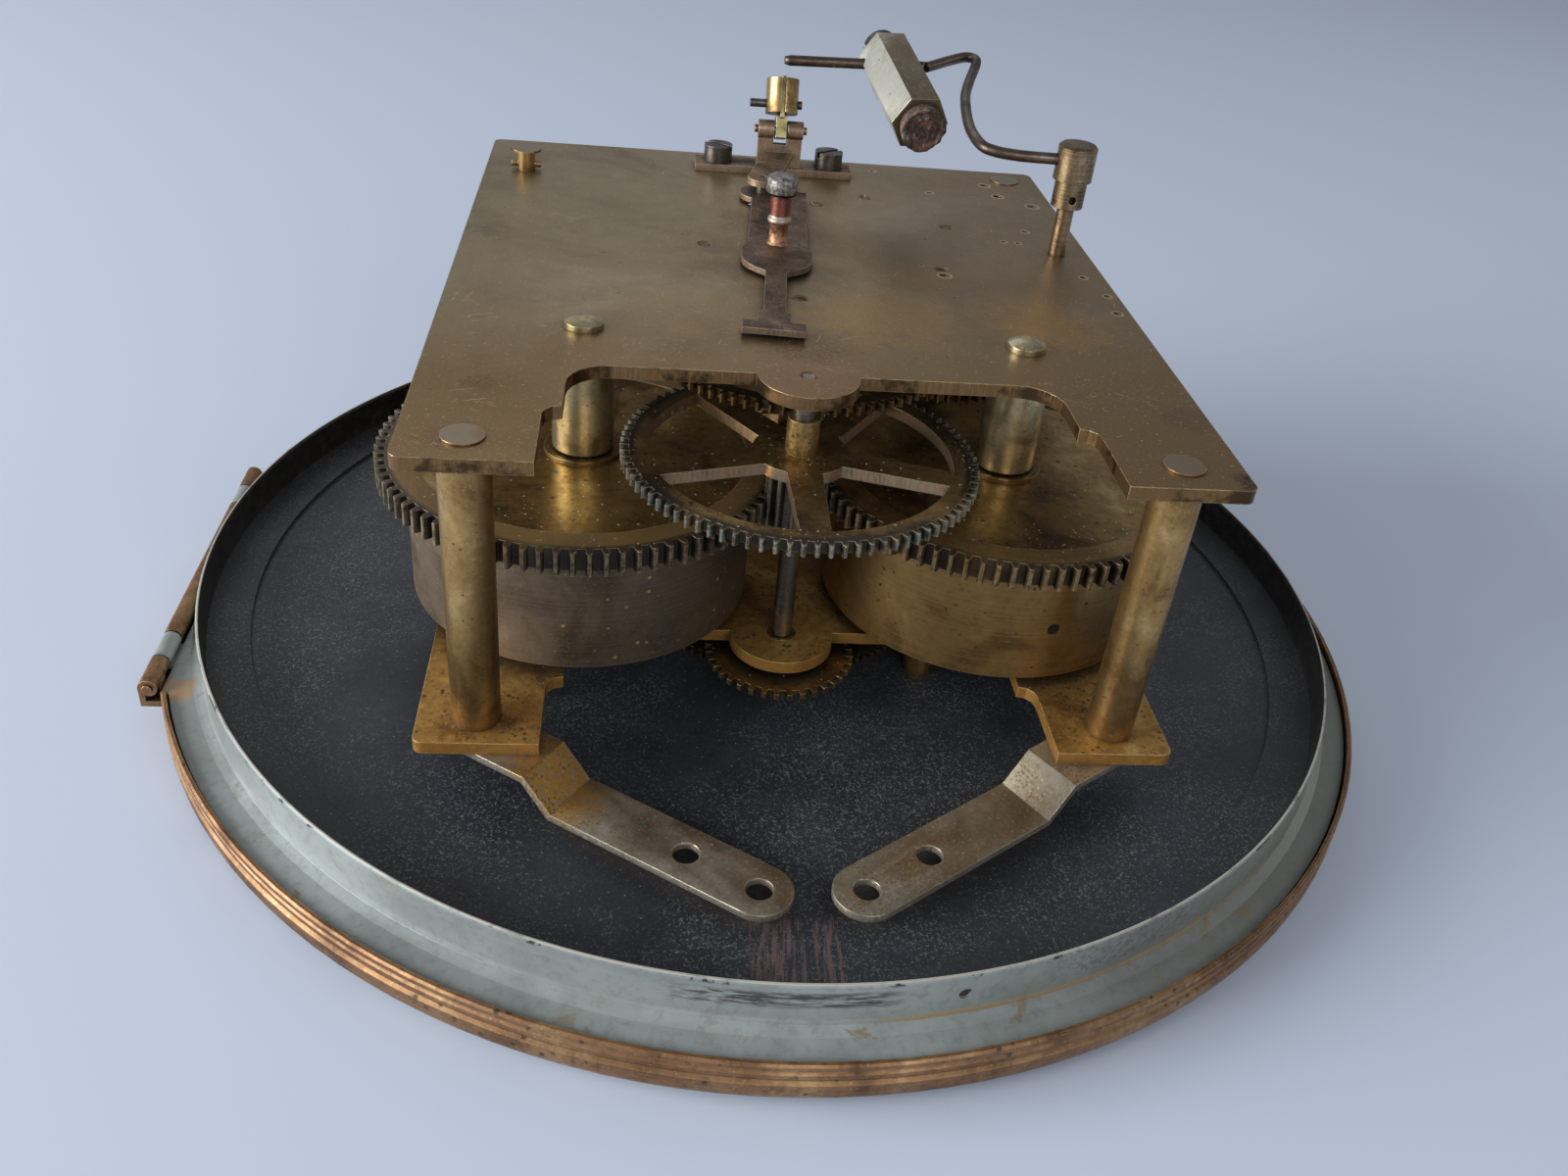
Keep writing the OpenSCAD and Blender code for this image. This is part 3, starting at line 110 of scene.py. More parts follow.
# A material under construction: each call adds one node or a small group and returns its output
class Shader:
    def __init__(self, name):
        self.material = bpy.data.materials.new(name)
        self.material.use_nodes = True
        self.tree = self.material.node_tree
        self.body = self.tree.nodes["Principled BSDF"]
        self.place = self.add("ShaderNodeTexCoord").outputs["Object"]
        flat = self.add("ShaderNodeVectorMath")
        flat.operation = "MULTIPLY"
        self.link(self.place, flat.inputs[0])
        flat.inputs[1].default_value = (1, 1, 0)
        self.flat = flat.outputs["Vector"]

    def add(self, kind):
        return self.tree.nodes.new(kind)

    # Links an output to a socket, or sets a number or a colour on it
    def link(self, value, socket):
        if isinstance(value, bpy.types.NodeSocket):
            self.tree.links.new(value, socket)
        elif hasattr(socket.default_value, "__len__"):
            size = len(socket.default_value)
            value = value if hasattr(value, "__len__") else (value,) * size
            socket.default_value = tuple(value)[:size] + ((1.0,) if size == 4 and len(value) == 3 else ())
        else:
            socket.default_value = value

    # Places turned by an angle, then divided so that noise of 1 mm is as long as scale says, in mm
    def streaks(self, scale, turn=0.0):
        node = self.add("ShaderNodeMapping")
        node.vector_type = "TEXTURE"
        self.link(self.place, node.inputs["Vector"])
        node.inputs["Scale"].default_value = scale
        node.inputs["Rotation"].default_value = (0, 0, turn)
        return node.outputs["Vector"]

    def noise(self, size, detail=4.0, rough=0.55, vector=None, twist=0.0):
        node = self.add("ShaderNodeTexNoise")
        self.link(vector or self.place, node.inputs["Vector"])
        node.inputs["Scale"].default_value = 1 / (size * mm)
        node.inputs["Detail"].default_value = detail
        node.inputs["Roughness"].default_value = rough
        node.inputs["Distortion"].default_value = twist
        return node.outputs["Fac"]

    # Turning marks: noise that changes along one distance only
    def rings(self, size, distance):
        node = self.add("ShaderNodeTexNoise")
        node.noise_dimensions = "1D"
        self.link(distance, node.inputs["W"])
        node.inputs["Scale"].default_value = 1 / size
        node.inputs["Detail"].default_value = 3.0
        return node.outputs["Fac"]

    # Round dots, only in a share of the cells; a flat pattern sees x and y alone
    def dots(self, size, radius, share, flat=False):
        node = self.add("ShaderNodeTexVoronoi")
        node.voronoi_dimensions = "2D" if flat else "3D"
        self.link(self.place, node.inputs["Vector"])
        node.inputs["Scale"].default_value = 1 / (size * mm)
        chosen = self.band(self.split(node.outputs["Color"])[0], 1 - share - 0.01, 1 - share + 0.01)
        return self.math("MULTIPLY", self.band(node.outputs["Distance"], radius * 0.5, radius, 1, 0), chosen)

    # 0 at low and 1 at high, or the two values given, and smooth between them
    def band(self, value, low, high, outLow=0.0, outHigh=1.0):
        node = self.add("ShaderNodeMapRange")
        node.interpolation_type = "SMOOTHSTEP"
        sockets = ("Value", "From Min", "From Max", "To Min", "To Max")
        for socket, number in zip(sockets, (value, low, high, outLow, outHigh)):
            self.link(number, node.inputs[socket])
        return node.outputs["Result"]

    # 1 between a soft rise and a soft fall, 0 outside them
    def between(self, value, riseStart, riseEnd, fallStart, fallEnd):
        return self.both(self.band(value, riseStart, riseEnd), self.band(value, fallStart, fallEnd, 1, 0))

    def math(self, how, a, b=0.0):
        node = self.add("ShaderNodeMath")
        node.operation = how
        node.use_clamp = how in ("MULTIPLY", "ADD", "SUBTRACT")
        self.link(a, node.inputs[0])
        self.link(b, node.inputs[1])
        return node.outputs[0]

    # The same without clamping, for distances
    def mathOpen(self, how, a, b=0.0):
        out = self.math(how, a, b)
        out.node.use_clamp = False
        return out

    def both(self, *shares):
        out = shares[0]
        for share in shares[1:]:
            out = self.math("MULTIPLY", out, share)
        return out

    def tone(self, share, a, b):
        node = self.add("ShaderNodeMix")
        node.data_type = "RGBA"
        colours = [s for s in node.inputs if s.type == "RGBA"]
        self.link(share, node.inputs[0])
        self.link(a, colours[0])
        self.link(b, colours[1])
        return [s for s in node.outputs if s.type == "RGBA"][0]

    def split(self, vector):
        node = self.add("ShaderNodeSeparateXYZ")
        self.link(vector, node.inputs[0])
        return node.outputs

    def distance(self, place, centre):
        node = self.add("ShaderNodeVectorMath")
        node.operation = "DISTANCE"
        self.link(place, node.inputs[0])
        node.inputs[1].default_value = [c * mm for c in centre]
        return self.mathOpen("MULTIPLY", node.outputs["Value"], 1000.0)

    # Distance in mm from an upright axis at x, y
    def away(self, x, y):
        return self.distance(self.flat, (x, y, 0))

    # Distance in mm from a point
    def near(self, x, y, z):
        return self.distance(self.place, (x, y, z))

    # Place along one axis in mm
    def along(self, axis):
        return self.mathOpen("MULTIPLY", self.split(self.place)["XYZ".index(axis)], 1000.0)

    # How far the surface faces along an axis, from -1 to 1
    def facing(self, axis):
        return self.split(self.add("ShaderNodeTexCoord").outputs["Normal"])["XYZ".index(axis)]

    # Normal of the surface as if its edges were rounded to a radius
    def rounded(self, radius):
        node = self.add("ShaderNodeBevel")
        node.samples = 4
        node.inputs["Radius"].default_value = radius * mm
        return node.outputs[0]

    # How far the rounded normal turns from the true one: 1 on worn edges, 0 on flats
    def edges(self, width):
        flat = self.add("ShaderNodeNewGeometry")
        dot = self.add("ShaderNodeVectorMath")
        dot.operation = "DOT_PRODUCT"
        self.link(self.rounded(width), dot.inputs[0])
        self.link(flat.outputs["Normal"], dot.inputs[1])
        return self.band(self.math("SUBTRACT", 1.0, dot.outputs["Value"]), 0.04, 0.3)

    # 0 in deep corners, 1 in the open
    def corners(self, reach):
        node = self.add("ShaderNodeAmbientOcclusion")
        node.samples = 6
        node.inputs["Distance"].default_value = reach * mm
        return node.outputs["AO"]

    def finish(self, colour, rough, metal, height=None, bumpDepth=0.1, bumpShare=0.4, edgeRadius=0.0):
        self.link(colour, self.body.inputs["Base Color"])
        self.link(rough, self.body.inputs["Roughness"])
        self.link(metal, self.body.inputs["Metallic"])
        normal = self.rounded(edgeRadius) if edgeRadius else None
        if height is not None:
            bump = self.add("ShaderNodeBump")
            bump.inputs["Strength"].default_value = bumpShare
            bump.inputs["Distance"].default_value = bumpDepth * mm
            self.link(height, bump.inputs["Height"])
            if normal is not None:
                self.link(normal, bump.inputs["Normal"])
            normal = bump.outputs[0]
        if normal is not None:
            self.link(normal, self.body.inputs["Normal"])
        return self.material


# Cloudy patina in three tones, darkened along an axis where the look says as painted shade, under marks of
# turning or brushing
def patina(s, look, clouds, fine):
    colour = s.tone(s.band(clouds, 0.34, 0.52), look["dark"], look["mid"])
    colour = s.tone(s.band(clouds, 0.52, 0.70), colour, look["light"])
    # painted shade: the part darker towards one end of an axis, where less of the window lamp's light falls
    for axis, start, end, tint, share in look.get("shadeAcross", ()):
        colour = s.tone(s.band(s.along(axis), start, end, 0, share), colour, tint)
    colour = s.tone(s.band(fine, 0.42, 0.72, 0, look.get("mottle", 0.35)), colour, look["dark"])
    marks = None
    if "turned" in look:
        x, y, size, share = look["turned"]
        marks = s.rings(size, s.mathOpen("ADD", s.away(x, y), s.along("Z")))
        colour = s.tone(s.band(marks, 0.38, 0.68, 0, share), colour, look["light"])
    if "brush" in look:
        scale, turn, share = look["brush"]
        marks = s.noise(1.0, 3, 0.6, vector=s.streaks(scale, turn))
        colour = s.tone(s.band(marks, 0.38, 0.70, 0, share), colour, look["light"])
    return colour, marks


# Stains, and on the plate some painted glints, at their places, ragged and grainy at the rim
def stainedAndGlinting(s, look, colour, fine):
    grainy = s.band(s.noise(0.6, 4, 0.75), 0.43, 0.55, 0.3, 1)
    for x, y, radius, tint, share in look.get("spotsAndGlints", ()):
        ragged = s.mathOpen("MULTIPLY", s.mathOpen("SUBTRACT", fine, 0.5), radius * 1.6)
        ragged = s.mathOpen("ADD", s.away(x, y), ragged)
        colour = s.tone(s.both(s.band(ragged, radius * 0.5, radius, share, 0), grainy), colour, tint)
    return colour


# Sheared sides with dark runs, a tarnished top, and painted shade on the facets that face right
def faced(s, look, colour, clouds, fine):
    if "sides" in look:
        tint, share = look["sides"]
        shear = s.noise(1.0, 3, 0.6, vector=s.streaks((0.25, 0.25, 2.5)))
        upright = s.band(s.math("ABSOLUTE", s.facing("Z")), 0.3, 0.7, 1, 0)
        if "teeth" in look:
            upright = s.both(upright, s.band(s.away(*look["teeth"][:2]), 3.6, 4.2))
        colour = s.tone(s.both(upright, s.band(shear, 0.3, 0.6, 0.35, 1), share), colour, tint)
        runs = s.band(s.noise(7, 4, 0.65), 0.5, 0.62)
        colour = s.tone(s.both(upright, runs, look.get("blackened", 0.0)), colour, look["grimeAndShade"])
    if "top" in look:
        upper = s.both(s.band(s.facing("Z"), 0.5, 0.9), s.band(clouds, 0.35, 0.6, 0.6, 1))
        colour = s.tone(upper, colour, look["top"])
    # painted shade: facets that face right are darkened, as the lamps light them little
    if "rightFacetShade" in look:
        tint, share = look["rightFacetShade"]
        right = s.both(s.band(s.facing("X"), -0.12, 0.0, 0, share), s.band(fine, 0.3, 0.5, 0.8, 1))
        colour = s.tone(right, colour, tint)
    return colour


# Oil round the rim, black between the teeth and paler on their tips, which dulls the metal
def oiled(s, look, colour, metal, rough):
    x, y, root = look["teeth"]
    far = s.away(x, y)
    oily = s.both(s.band(far, root - 0.9, root + 0.2), s.band(s.noise(13, 3, 0.6), 0.34, 0.5, 0.6, 1))
    tips = s.both(s.band(far, root + 1.1, root + 1.9), s.band(s.noise(0.9, 4, 0.7), 0.40, 0.58))
    oil = s.tone(tips, look["grease"], look["greasePale"])
    colour = s.tone(s.math("MULTIPLY", oily, 0.9), colour, oil)
    metal = s.math("SUBTRACT", metal, s.math("MULTIPLY", oily, 0.5))
    return colour, metal, s.tone(oily, rough, (0.40, 0.40, 0.40))


# Short scratches in patches, in three directions
def scratched(s, look, colour):
    patch = s.band(s.noise(9, 3, 0.5), 0.50, 0.62)
    for turn in (0.35, 1.3, -0.6):
        line = s.noise(1.0, 2, 0.5, vector=s.streaks((5.0, 0.22, 5.0), turn))
        colour = s.tone(s.both(s.band(line, 0.69, 0.74), patch, look["scratches"]), colour, look["worn"])
    return colour


# Drilled pits with a bright burr and, a little to one side of it, a dark spot of painted shade for the
# hollow; holes through a wall painted dark as shade
def drilled(s, look, colour, metal, height):
    for x, y, radius in look.get("pits", ()):
        far = s.mathOpen("MULTIPLY", s.away(x, y), 0.78)
        burr = s.between(far, radius * 0.7, radius, radius, radius * 1.35)
        colour = s.tone(s.both(burr, 0.8), colour, look["worn"])
        # painted shade: the pit's hollow is a dark spot set a little to one side
        hole = s.band(s.away(x - 0.4 * radius, y + 0.2 * radius), radius * 0.5, radius * 0.95, 1, 0)
        colour = s.tone(hole, colour, look["grimeAndShade"])
        height = s.math("SUBTRACT", height, hole)
    for x, y, z, radius in look.get("holes", ()):
        # painted shade: the hole through the wall is only a dark spot
        hole = s.band(s.near(x, y, z), radius * 0.75, radius, 1, 0)
        colour = s.tone(hole, colour, look["grimeAndShade"])
        metal = s.math("SUBTRACT", metal, hole)
    return colour, metal, height


# Pale dust on what faces up, as single grains and in drifts
def dusted(s, look, colour, metal):
    drifts = s.both(s.dots(1.1, 0.12, 0.4, True), s.band(s.noise(11, 3), 0.44, 0.62))
    dust = s.math("MAXIMUM", s.dots(2.7, 0.075, 0.4, True), drifts)
    dust = s.both(dust, s.band(s.facing("Z"), 0.5, 0.9), look["dust"])
    colour = s.tone(dust, colour, (0.58, 0.52, 0.40))
    return colour, s.math("SUBTRACT", metal, s.math("MULTIPLY", dust, 0.8))


# A tarnished metal with painted shade, built up from the patina to the dust; most layers are there only
# where the look has them
def tarnishedMetal(name, look):
    s = Shader(name)
    clouds = s.noise(look["cloud"], 6, 0.6, twist=0.5)
    fine = s.noise(look["cloud"] * 0.1, 5, 0.65)
    colour, marks = patina(s, look, clouds, fine)
    colour = stainedAndGlinting(s, look, colour, fine)
    size, radius, share = look.get("specks", (1.0, 0.35, 0.35))
    specks = s.both(s.dots(size, radius, share), s.band(s.noise(look["cloud"] * 0.35, 3), 0.38, 0.6))
    colour = s.tone(specks, colour, look["speck"])
    grit = s.band(s.noise(0.5, 3, 0.7), 0.56, 0.72, 0, look.get("grit", 0.3))
    colour = s.tone(grit, colour, look["worn"])
    rough = s.band(clouds, 0.3, 0.7, look["rough"][1], look["rough"][0])
    metal = s.math("SUBTRACT", look["metal"], s.math("MULTIPLY", specks, 0.5))
    colour = faced(s, look, colour, clouds, fine)
    if "teeth" in look:
        colour, metal, rough = oiled(s, look, colour, metal, rough)
    if "scratches" in look:
        colour = scratched(s, look, colour)
    wear = s.both(s.edges(look["edge"]), s.band(s.noise(2.2, 3, 0.6), 0.30, 0.55), 0.8)
    colour = s.tone(wear, colour, look["worn"])
    # painted shade and dirt: corners and gaps between parts are darkened by how little open space they see
    grimeAndShade = s.band(s.corners(look.get("cornerShadeReach", 2.5)), 0.25, 0.85, look.get("cornerShadeShare", 0.75), 0)
    colour = s.tone(grimeAndShade, colour, look["grimeAndShade"])
    height = s.math("MULTIPLY", fine, 0.5)
    if marks is not None:
        height = s.math("ADD", height, s.math("MULTIPLY", marks, 0.3))
    height = s.math("SUBTRACT", height, s.math("MULTIPLY", specks, 0.3))
    colour, metal, height = drilled(s, look, colour, metal, height)
    if "dust" in look:
        colour, metal = dusted(s, look, colour, metal)
    rough = s.math("ADD", rough, s.math("MULTIPLY", grimeAndShade, 0.25))
    return s.finish(colour, rough, metal, height, look.get("depth", 0.04), 0.5, 0.15)


# Sizes and places are in mm. cloud: size of the patches. shadeAcross, painted shade along an axis: axis,
# start, end, tint, share.
# turned: x, y, size, share. brush: streak scale, turn, share. specks: spacing, radius, share.
# sides and rightFacetShade (painted shade on facets that face right): tint, share. teeth: x, y, root radius.
# spotsAndGlints (real stain marks and painted glints): x, y, radius, tint, share.
# pits: x, y, radius. holes (dark spots of painted shade): x, y, z, radius. rough: from, to.
finishes = {
    "plateBrass": dict(
        cloud=38, dark=(0.215, 0.165, 0.098), mid=(0.33, 0.262, 0.155), light=(0.45, 0.365, 0.225),
        speck=(0.14, 0.08, 0.045),
        # painted shade: the plate darker towards +x, away from the window lamp, and towards the front
        shadeAcross=(("X", -20, 50, (0.31, 0.215, 0.12), 0.75), ("Y", 10, -45, (0.27, 0.165, 0.062), 0.8)),
        mottle=0.3, specks=(2.6, 0.16, 0.2), worn=(0.86, 0.64, 0.32), grimeAndShade=(0.025, 0.015, 0.009),
        rough=(0.32, 0.44), metal=0.92, sides=((0.21, 0.11, 0.045), 0.9), scratches=0.6,
        spotsAndGlints=[
            (-46.2, -35.8, 3, (0.10, 0.055, 0.035), 0.35), (54.5, -54.8, 3, (0.03, 0.02, 0.018), 0.9),
            (-1.2, -29, 9, (0.34, 0.19, 0.12), 0.75), (-1, -18, 8, (0.14, 0.075, 0.04), 0.6),
            (-1, 34, 12, (0.19, 0.105, 0.06), 0.55), (-9, 48, 8, (0.36, 0.2, 0.09), 0.5),
            (22, 12, 7, (0.36, 0.18, 0.08), 0.4), (51, -37, 5, (0.16, 0.09, 0.07), 0.4),
            (-48, -51, 5, (0.20, 0.09, 0.06), 0.45), (49, 24, 8, (0.24, 0.15, 0.09), 0.4),
            (-33, 30, 6, (0.30, 0.29, 0.22), 0.3), (-33.4, -25, 7, (0.30, 0.16, 0.07), 0.45),
            # The last three spots are painted glints: golden glows of reflected light on the plate
            (12, -6, 15, (0.46, 0.27, 0.09), 0.55), (38, -6, 13, (0.46, 0.27, 0.09), 0.6),
            (-18, -8, 13, (0.40, 0.26, 0.11), 0.4),
        ],
        pits=[
            (43.5, 65.4, 0.9), (44.9, 58.8, 0.9), (50.8, 53.8, 1.0), (48.7, 67.5, 0.7), (31.0, 58.4, 0.6),
            (26.0, 13.6, 0.9), (22.7, 17.8, 0.35), (45.8, 38.6, 0.6), (40.4, 32.4, 0.5), (43.0, 32.0, 0.5),
            (51.1, 16.4, 0.6), (53.1, 8.3, 0.6), (52.7, 0.8, 0.7), (21.1, 70.3, 0.6), (-22, 60, 0.4),
        ],
        dust=0.4, edge=0.3, depth=0.09, blackened=0.75,
    ),
    "footBrass": dict(
        cloud=10, dark=(0.20, 0.095, 0.020), mid=(0.50, 0.28, 0.07), light=(0.74, 0.48, 0.15),
        speck=(0.09, 0.042, 0.012), mottle=0.7, specks=(0.8, 0.55, 0.55), grit=0.6, worn=(0.92, 0.70, 0.36),
        grimeAndShade=(0.03, 0.015, 0.008), rough=(0.42, 0.55), metal=0.6, sides=((0.50, 0.23, 0.05), 0.7),
        # painted shade: a long reach darkens the plate under the drums and round the pillars
        dust=0.3, edge=0.3, cornerShadeReach=9, cornerShadeShare=0.85,
    ),
    "pillarBrass": dict(
        cloud=9, dark=(0.20, 0.11, 0.036), mid=(0.43, 0.265, 0.10), light=(0.62, 0.42, 0.185),
        speck=(0.14, 0.07, 0.025), brush=((0.7, 0.7, 6), 0, 0.15), top=(0.33, 0.265, 0.185),
        specks=(1.0, 0.3, 0.4), worn=(0.8, 0.62, 0.33), grimeAndShade=(0.03, 0.018, 0.01), rough=(0.30, 0.45),
        metal=0.95, edge=0.25,
    ),
    "domeBrass": dict(
        cloud=6, dark=(0.25, 0.19, 0.09), mid=(0.54, 0.46, 0.28), light=(0.74, 0.67, 0.45),
        speck=(0.10, 0.08, 0.04), specks=(0.9, 0.3, 0.3), worn=(0.8, 0.72, 0.45), grimeAndShade=(0.03, 0.02, 0.012),
        rough=(0.26, 0.4), metal=0.95, edge=0.25, dust=0.3,
    ),
    "leftDrum": dict(
        cloud=17, dark=(0.095, 0.066, 0.042), mid=(0.215, 0.16, 0.108), light=(0.36, 0.285, 0.205),
        speck=(0.42, 0.28, 0.12), turned=(*leftBarrel, 0.35, 0.14),
        # painted shade: the drum darker towards +x, away from the window lamp
        shadeAcross=[("X", -42, -10, (0.10, 0.066, 0.042), 0.6)], specks=(1.5, 0.25, 0.35),
        worn=(0.5, 0.38, 0.22), grimeAndShade=(0.012, 0.008, 0.006), rough=(0.42, 0.55), metal=0.7,
        top=(0.36, 0.225, 0.08), teeth=(*leftBarrel, 29.4), grease=(0.016, 0.011, 0.006),
        greasePale=(0.20, 0.145, 0.08), dust=0.6, edge=0.25,
    ),
    "rightDrum": dict(
        cloud=15, dark=(0.14, 0.078, 0.028), mid=(0.40, 0.25, 0.095), light=(0.62, 0.42, 0.17),
        speck=(0.07, 0.035, 0.012), turned=(*rightBarrel, 0.35, 0.2),
        # painted shade: the drum darker towards +x, away from the window lamp
        shadeAcross=[("X", 26, 60, (0.15, 0.075, 0.025), 0.65)], specks=(1.3, 0.3, 0.35), worn=(0.6, 0.45, 0.24),
        grimeAndShade=(0.012, 0.008, 0.006), rough=(0.32, 0.5), metal=0.9, holes=[(38.1, -41.9, 30, 1.2)],
        teeth=(*rightBarrel, 29.4), grease=(0.014, 0.010, 0.006), greasePale=(0.22, 0.15, 0.075), dust=0.6,
        edge=0.25,
    ),
    "capBrass": dict(
        cloud=13, dark=(0.11, 0.062, 0.020), mid=(0.38, 0.24, 0.08), light=(0.58, 0.40, 0.15),
        speck=(0.05, 0.028, 0.010), mottle=0.5, specks=(1.6, 0.3, 0.4), worn=(0.7, 0.5, 0.24),
        grimeAndShade=(0.010, 0.007, 0.005), rough=(0.24, 0.42), metal=0.9, dust=0.9, edge=0.25, cornerShadeReach=5,
    ),
    "greatWheel": dict(
        cloud=9, dark=(0.07, 0.042, 0.017), mid=(0.25, 0.158, 0.062), light=(0.42, 0.28, 0.12),
        speck=(0.03, 0.026, 0.015), mottle=0.5, specks=(1.4, 0.35, 0.4), worn=(0.7, 0.52, 0.30),
        grimeAndShade=(0.010, 0.010, 0.007), rough=(0.32, 0.5), metal=0.85, sides=((0.50, 0.36, 0.24), 0.7),
        spotsAndGlints=[(*secondArbor, 4.2, (0.50, 0.33, 0.11), 0.9), (-12, -44, 9, (0.42, 0.27, 0.09), 0.7)],
        teeth=(*secondArbor, 24.4), grease=(0.008, 0.009, 0.006), greasePale=(0.20, 0.23, 0.19), dust=0.8,
        edge=0.22,
    ),
    "wheelBrass": dict(
        cloud=8, dark=(0.06, 0.038, 0.016), mid=(0.24, 0.155, 0.062), light=(0.42, 0.29, 0.13),
        speck=(0.03, 0.03, 0.02), worn=(0.6, 0.45, 0.22), grimeAndShade=(0.012, 0.012, 0.009), rough=(0.3, 0.5),
        # painted shade: a long reach darkens the wheels where other parts hang over them
        metal=0.88, dust=0.6, edge=0.22, cornerShadeReach=7, cornerShadeShare=0.85,
    ),
    "brightBrass": dict(
        cloud=5, dark=(0.15, 0.09, 0.035), mid=(0.40, 0.275, 0.12), light=(0.60, 0.45, 0.22),
        speck=(0.2, 0.11, 0.05), worn=(0.85, 0.70, 0.42), grimeAndShade=(0.04, 0.025, 0.012), rough=(0.28, 0.44),
        metal=0.95, specks=(0.9, 0.3, 0.3), edge=0.2,
    ),
    "collarBrass": dict(
        cloud=6, dark=(0.10, 0.062, 0.034), mid=(0.26, 0.185, 0.105), light=(0.48, 0.36, 0.22),
        speck=(0.09, 0.05, 0.025), turned=(*hammerArbor, 0.3, 0.3), worn=(0.75, 0.62, 0.4),
        grimeAndShade=(0.02, 0.013, 0.008), rough=(0.26, 0.42), metal=0.95, edge=0.25,
    ),
    "paleBrass": dict(
        # painted shade: the head's facets that face right are dark
        cloud=8, rightFacetShade=((0.15, 0.105, 0.058), 0.93), dark=(0.36, 0.33, 0.25), mid=(0.62, 0.60, 0.51),
        light=(0.76, 0.75, 0.67), speck=(0.14, 0.11, 0.07), brush=((6, 0.3, 0.3), 0.6, 0.25),
        specks=(1.5, 0.22, 0.25), worn=(0.85, 0.80, 0.64), grimeAndShade=(0.05, 0.04, 0.03), rough=(0.34, 0.5),
        metal=0.7, dust=0.2, edge=0.35,
    ),
    "strapSteel": dict(
        cloud=14, dark=(0.22, 0.165, 0.10), mid=(0.40, 0.34, 0.245), light=(0.52, 0.465, 0.36),
        speck=(0.17, 0.095, 0.04), mottle=0.6, specks=(0.6, 0.5, 0.7), worn=(0.90, 0.86, 0.78),
        grimeAndShade=(0.05, 0.035, 0.02), rough=(0.27, 0.40), metal=0.75,
        spotsAndGlints=[
            (-34.6, -60.2, 8, (0.56, 0.29, 0.045), 1.0), (16, -73, 9, (0.28, 0.17, 0.08), 0.7),
            (-6, -76, 7, (0.27, 0.17, 0.085), 0.55),
        ],
        sides=((0.62, 0.55, 0.46), 0.6), dust=0.15, edge=0.3, depth=0.05,
    ),
    "arborSteel": dict(
        cloud=6, dark=(0.10, 0.088, 0.068), mid=(0.26, 0.235, 0.185), light=(0.42, 0.385, 0.31),
        speck=(0.12, 0.07, 0.04), worn=(0.7, 0.66, 0.56), grimeAndShade=(0.025, 0.018, 0.012), rough=(0.24, 0.42),
        metal=0.95, specks=(0.9, 0.3, 0.3), edge=0.2,
    ),
    "screwSteel": dict(
        cloud=3, dark=(0.05, 0.045, 0.040), mid=(0.12, 0.108, 0.098), light=(0.24, 0.22, 0.20),
        speck=(0.11, 0.06, 0.03), worn=(0.50, 0.48, 0.44), grimeAndShade=(0.02, 0.015, 0.012), rough=(0.3, 0.5),
        metal=0.92, specks=(0.6, 0.35, 0.4), edge=0.25,
    ),
    "rustySteel": dict(
        cloud=6, dark=(0.052, 0.032, 0.022), mid=(0.15, 0.094, 0.062), light=(0.25, 0.175, 0.125),
        speck=(0.045, 0.022, 0.014), mottle=0.7, specks=(0.8, 0.45, 0.5), worn=(0.62, 0.50, 0.38),
        grimeAndShade=(0.02, 0.012, 0.008), rough=(0.42, 0.62), metal=0.7, sides=((0.40, 0.29, 0.20), 0.5),
        dust=0.3, edge=0.35, depth=0.08,
    ),
    "bridgeSteel": dict(
        cloud=7, dark=(0.06, 0.034, 0.020), mid=(0.235, 0.155, 0.095), light=(0.42, 0.32, 0.22),
        speck=(0.06, 0.03, 0.018), mottle=0.6, specks=(0.8, 0.42, 0.45), worn=(0.72, 0.60, 0.48),
        grimeAndShade=(0.02, 0.012, 0.008), rough=(0.40, 0.58), metal=0.6, sides=((0.46, 0.33, 0.23), 0.5),
        dust=0.2, edge=0.35, depth=0.08,
    ),
    "wireSteel": dict(
        cloud=7, dark=(0.055, 0.037, 0.028), mid=(0.125, 0.09, 0.072), light=(0.22, 0.17, 0.14),
        speck=(0.16, 0.08, 0.04), specks=(0.8, 0.35, 0.3), worn=(0.4, 0.34, 0.28),
        grimeAndShade=(0.02, 0.014, 0.010), rough=(0.30, 0.48), metal=0.9, edge=0.2,
    ),
    "bezelBrass": dict(
        cloud=15, dark=(0.10, 0.044, 0.020), mid=(0.28, 0.145, 0.070), light=(0.45, 0.28, 0.13),
        speck=(0.05, 0.022, 0.012), turned=(0, 0, 0.35, 0.2),
        # painted shade: the bezel darker towards +x, away from the window lamp
        shadeAcross=(("X", 20, 90, (0.16, 0.075, 0.035), 0.6),), mottle=0.65, specks=(1.8, 0.3, 0.5),
        worn=(0.80, 0.55, 0.26), grimeAndShade=(0.022, 0.011, 0.006), rough=(0.38, 0.54), metal=0.75, edge=0.3,
    ),
    "springGold": dict(
        cloud=5, dark=(0.10, 0.085, 0.035), mid=(0.25, 0.215, 0.10), light=(0.44, 0.38, 0.19),
        speck=(0.10, 0.08, 0.03), worn=(0.8, 0.74, 0.42), grimeAndShade=(0.03, 0.025, 0.012), rough=(0.22, 0.36),
        metal=1.0, specks=(0.8, 0.3, 0.3), edge=0.2,
    ),
    "blueSteel": dict(
        cloud=8, dark=(0.03, 0.035, 0.06), mid=(0.08, 0.09, 0.14), light=(0.16, 0.18, 0.24),
        speck=(0.08, 0.05, 0.03), worn=(0.4, 0.42, 0.46), grimeAndShade=(0.015, 0.012, 0.012), rough=(0.25, 0.4),
        metal=1.0, edge=0.2,
    ),
}
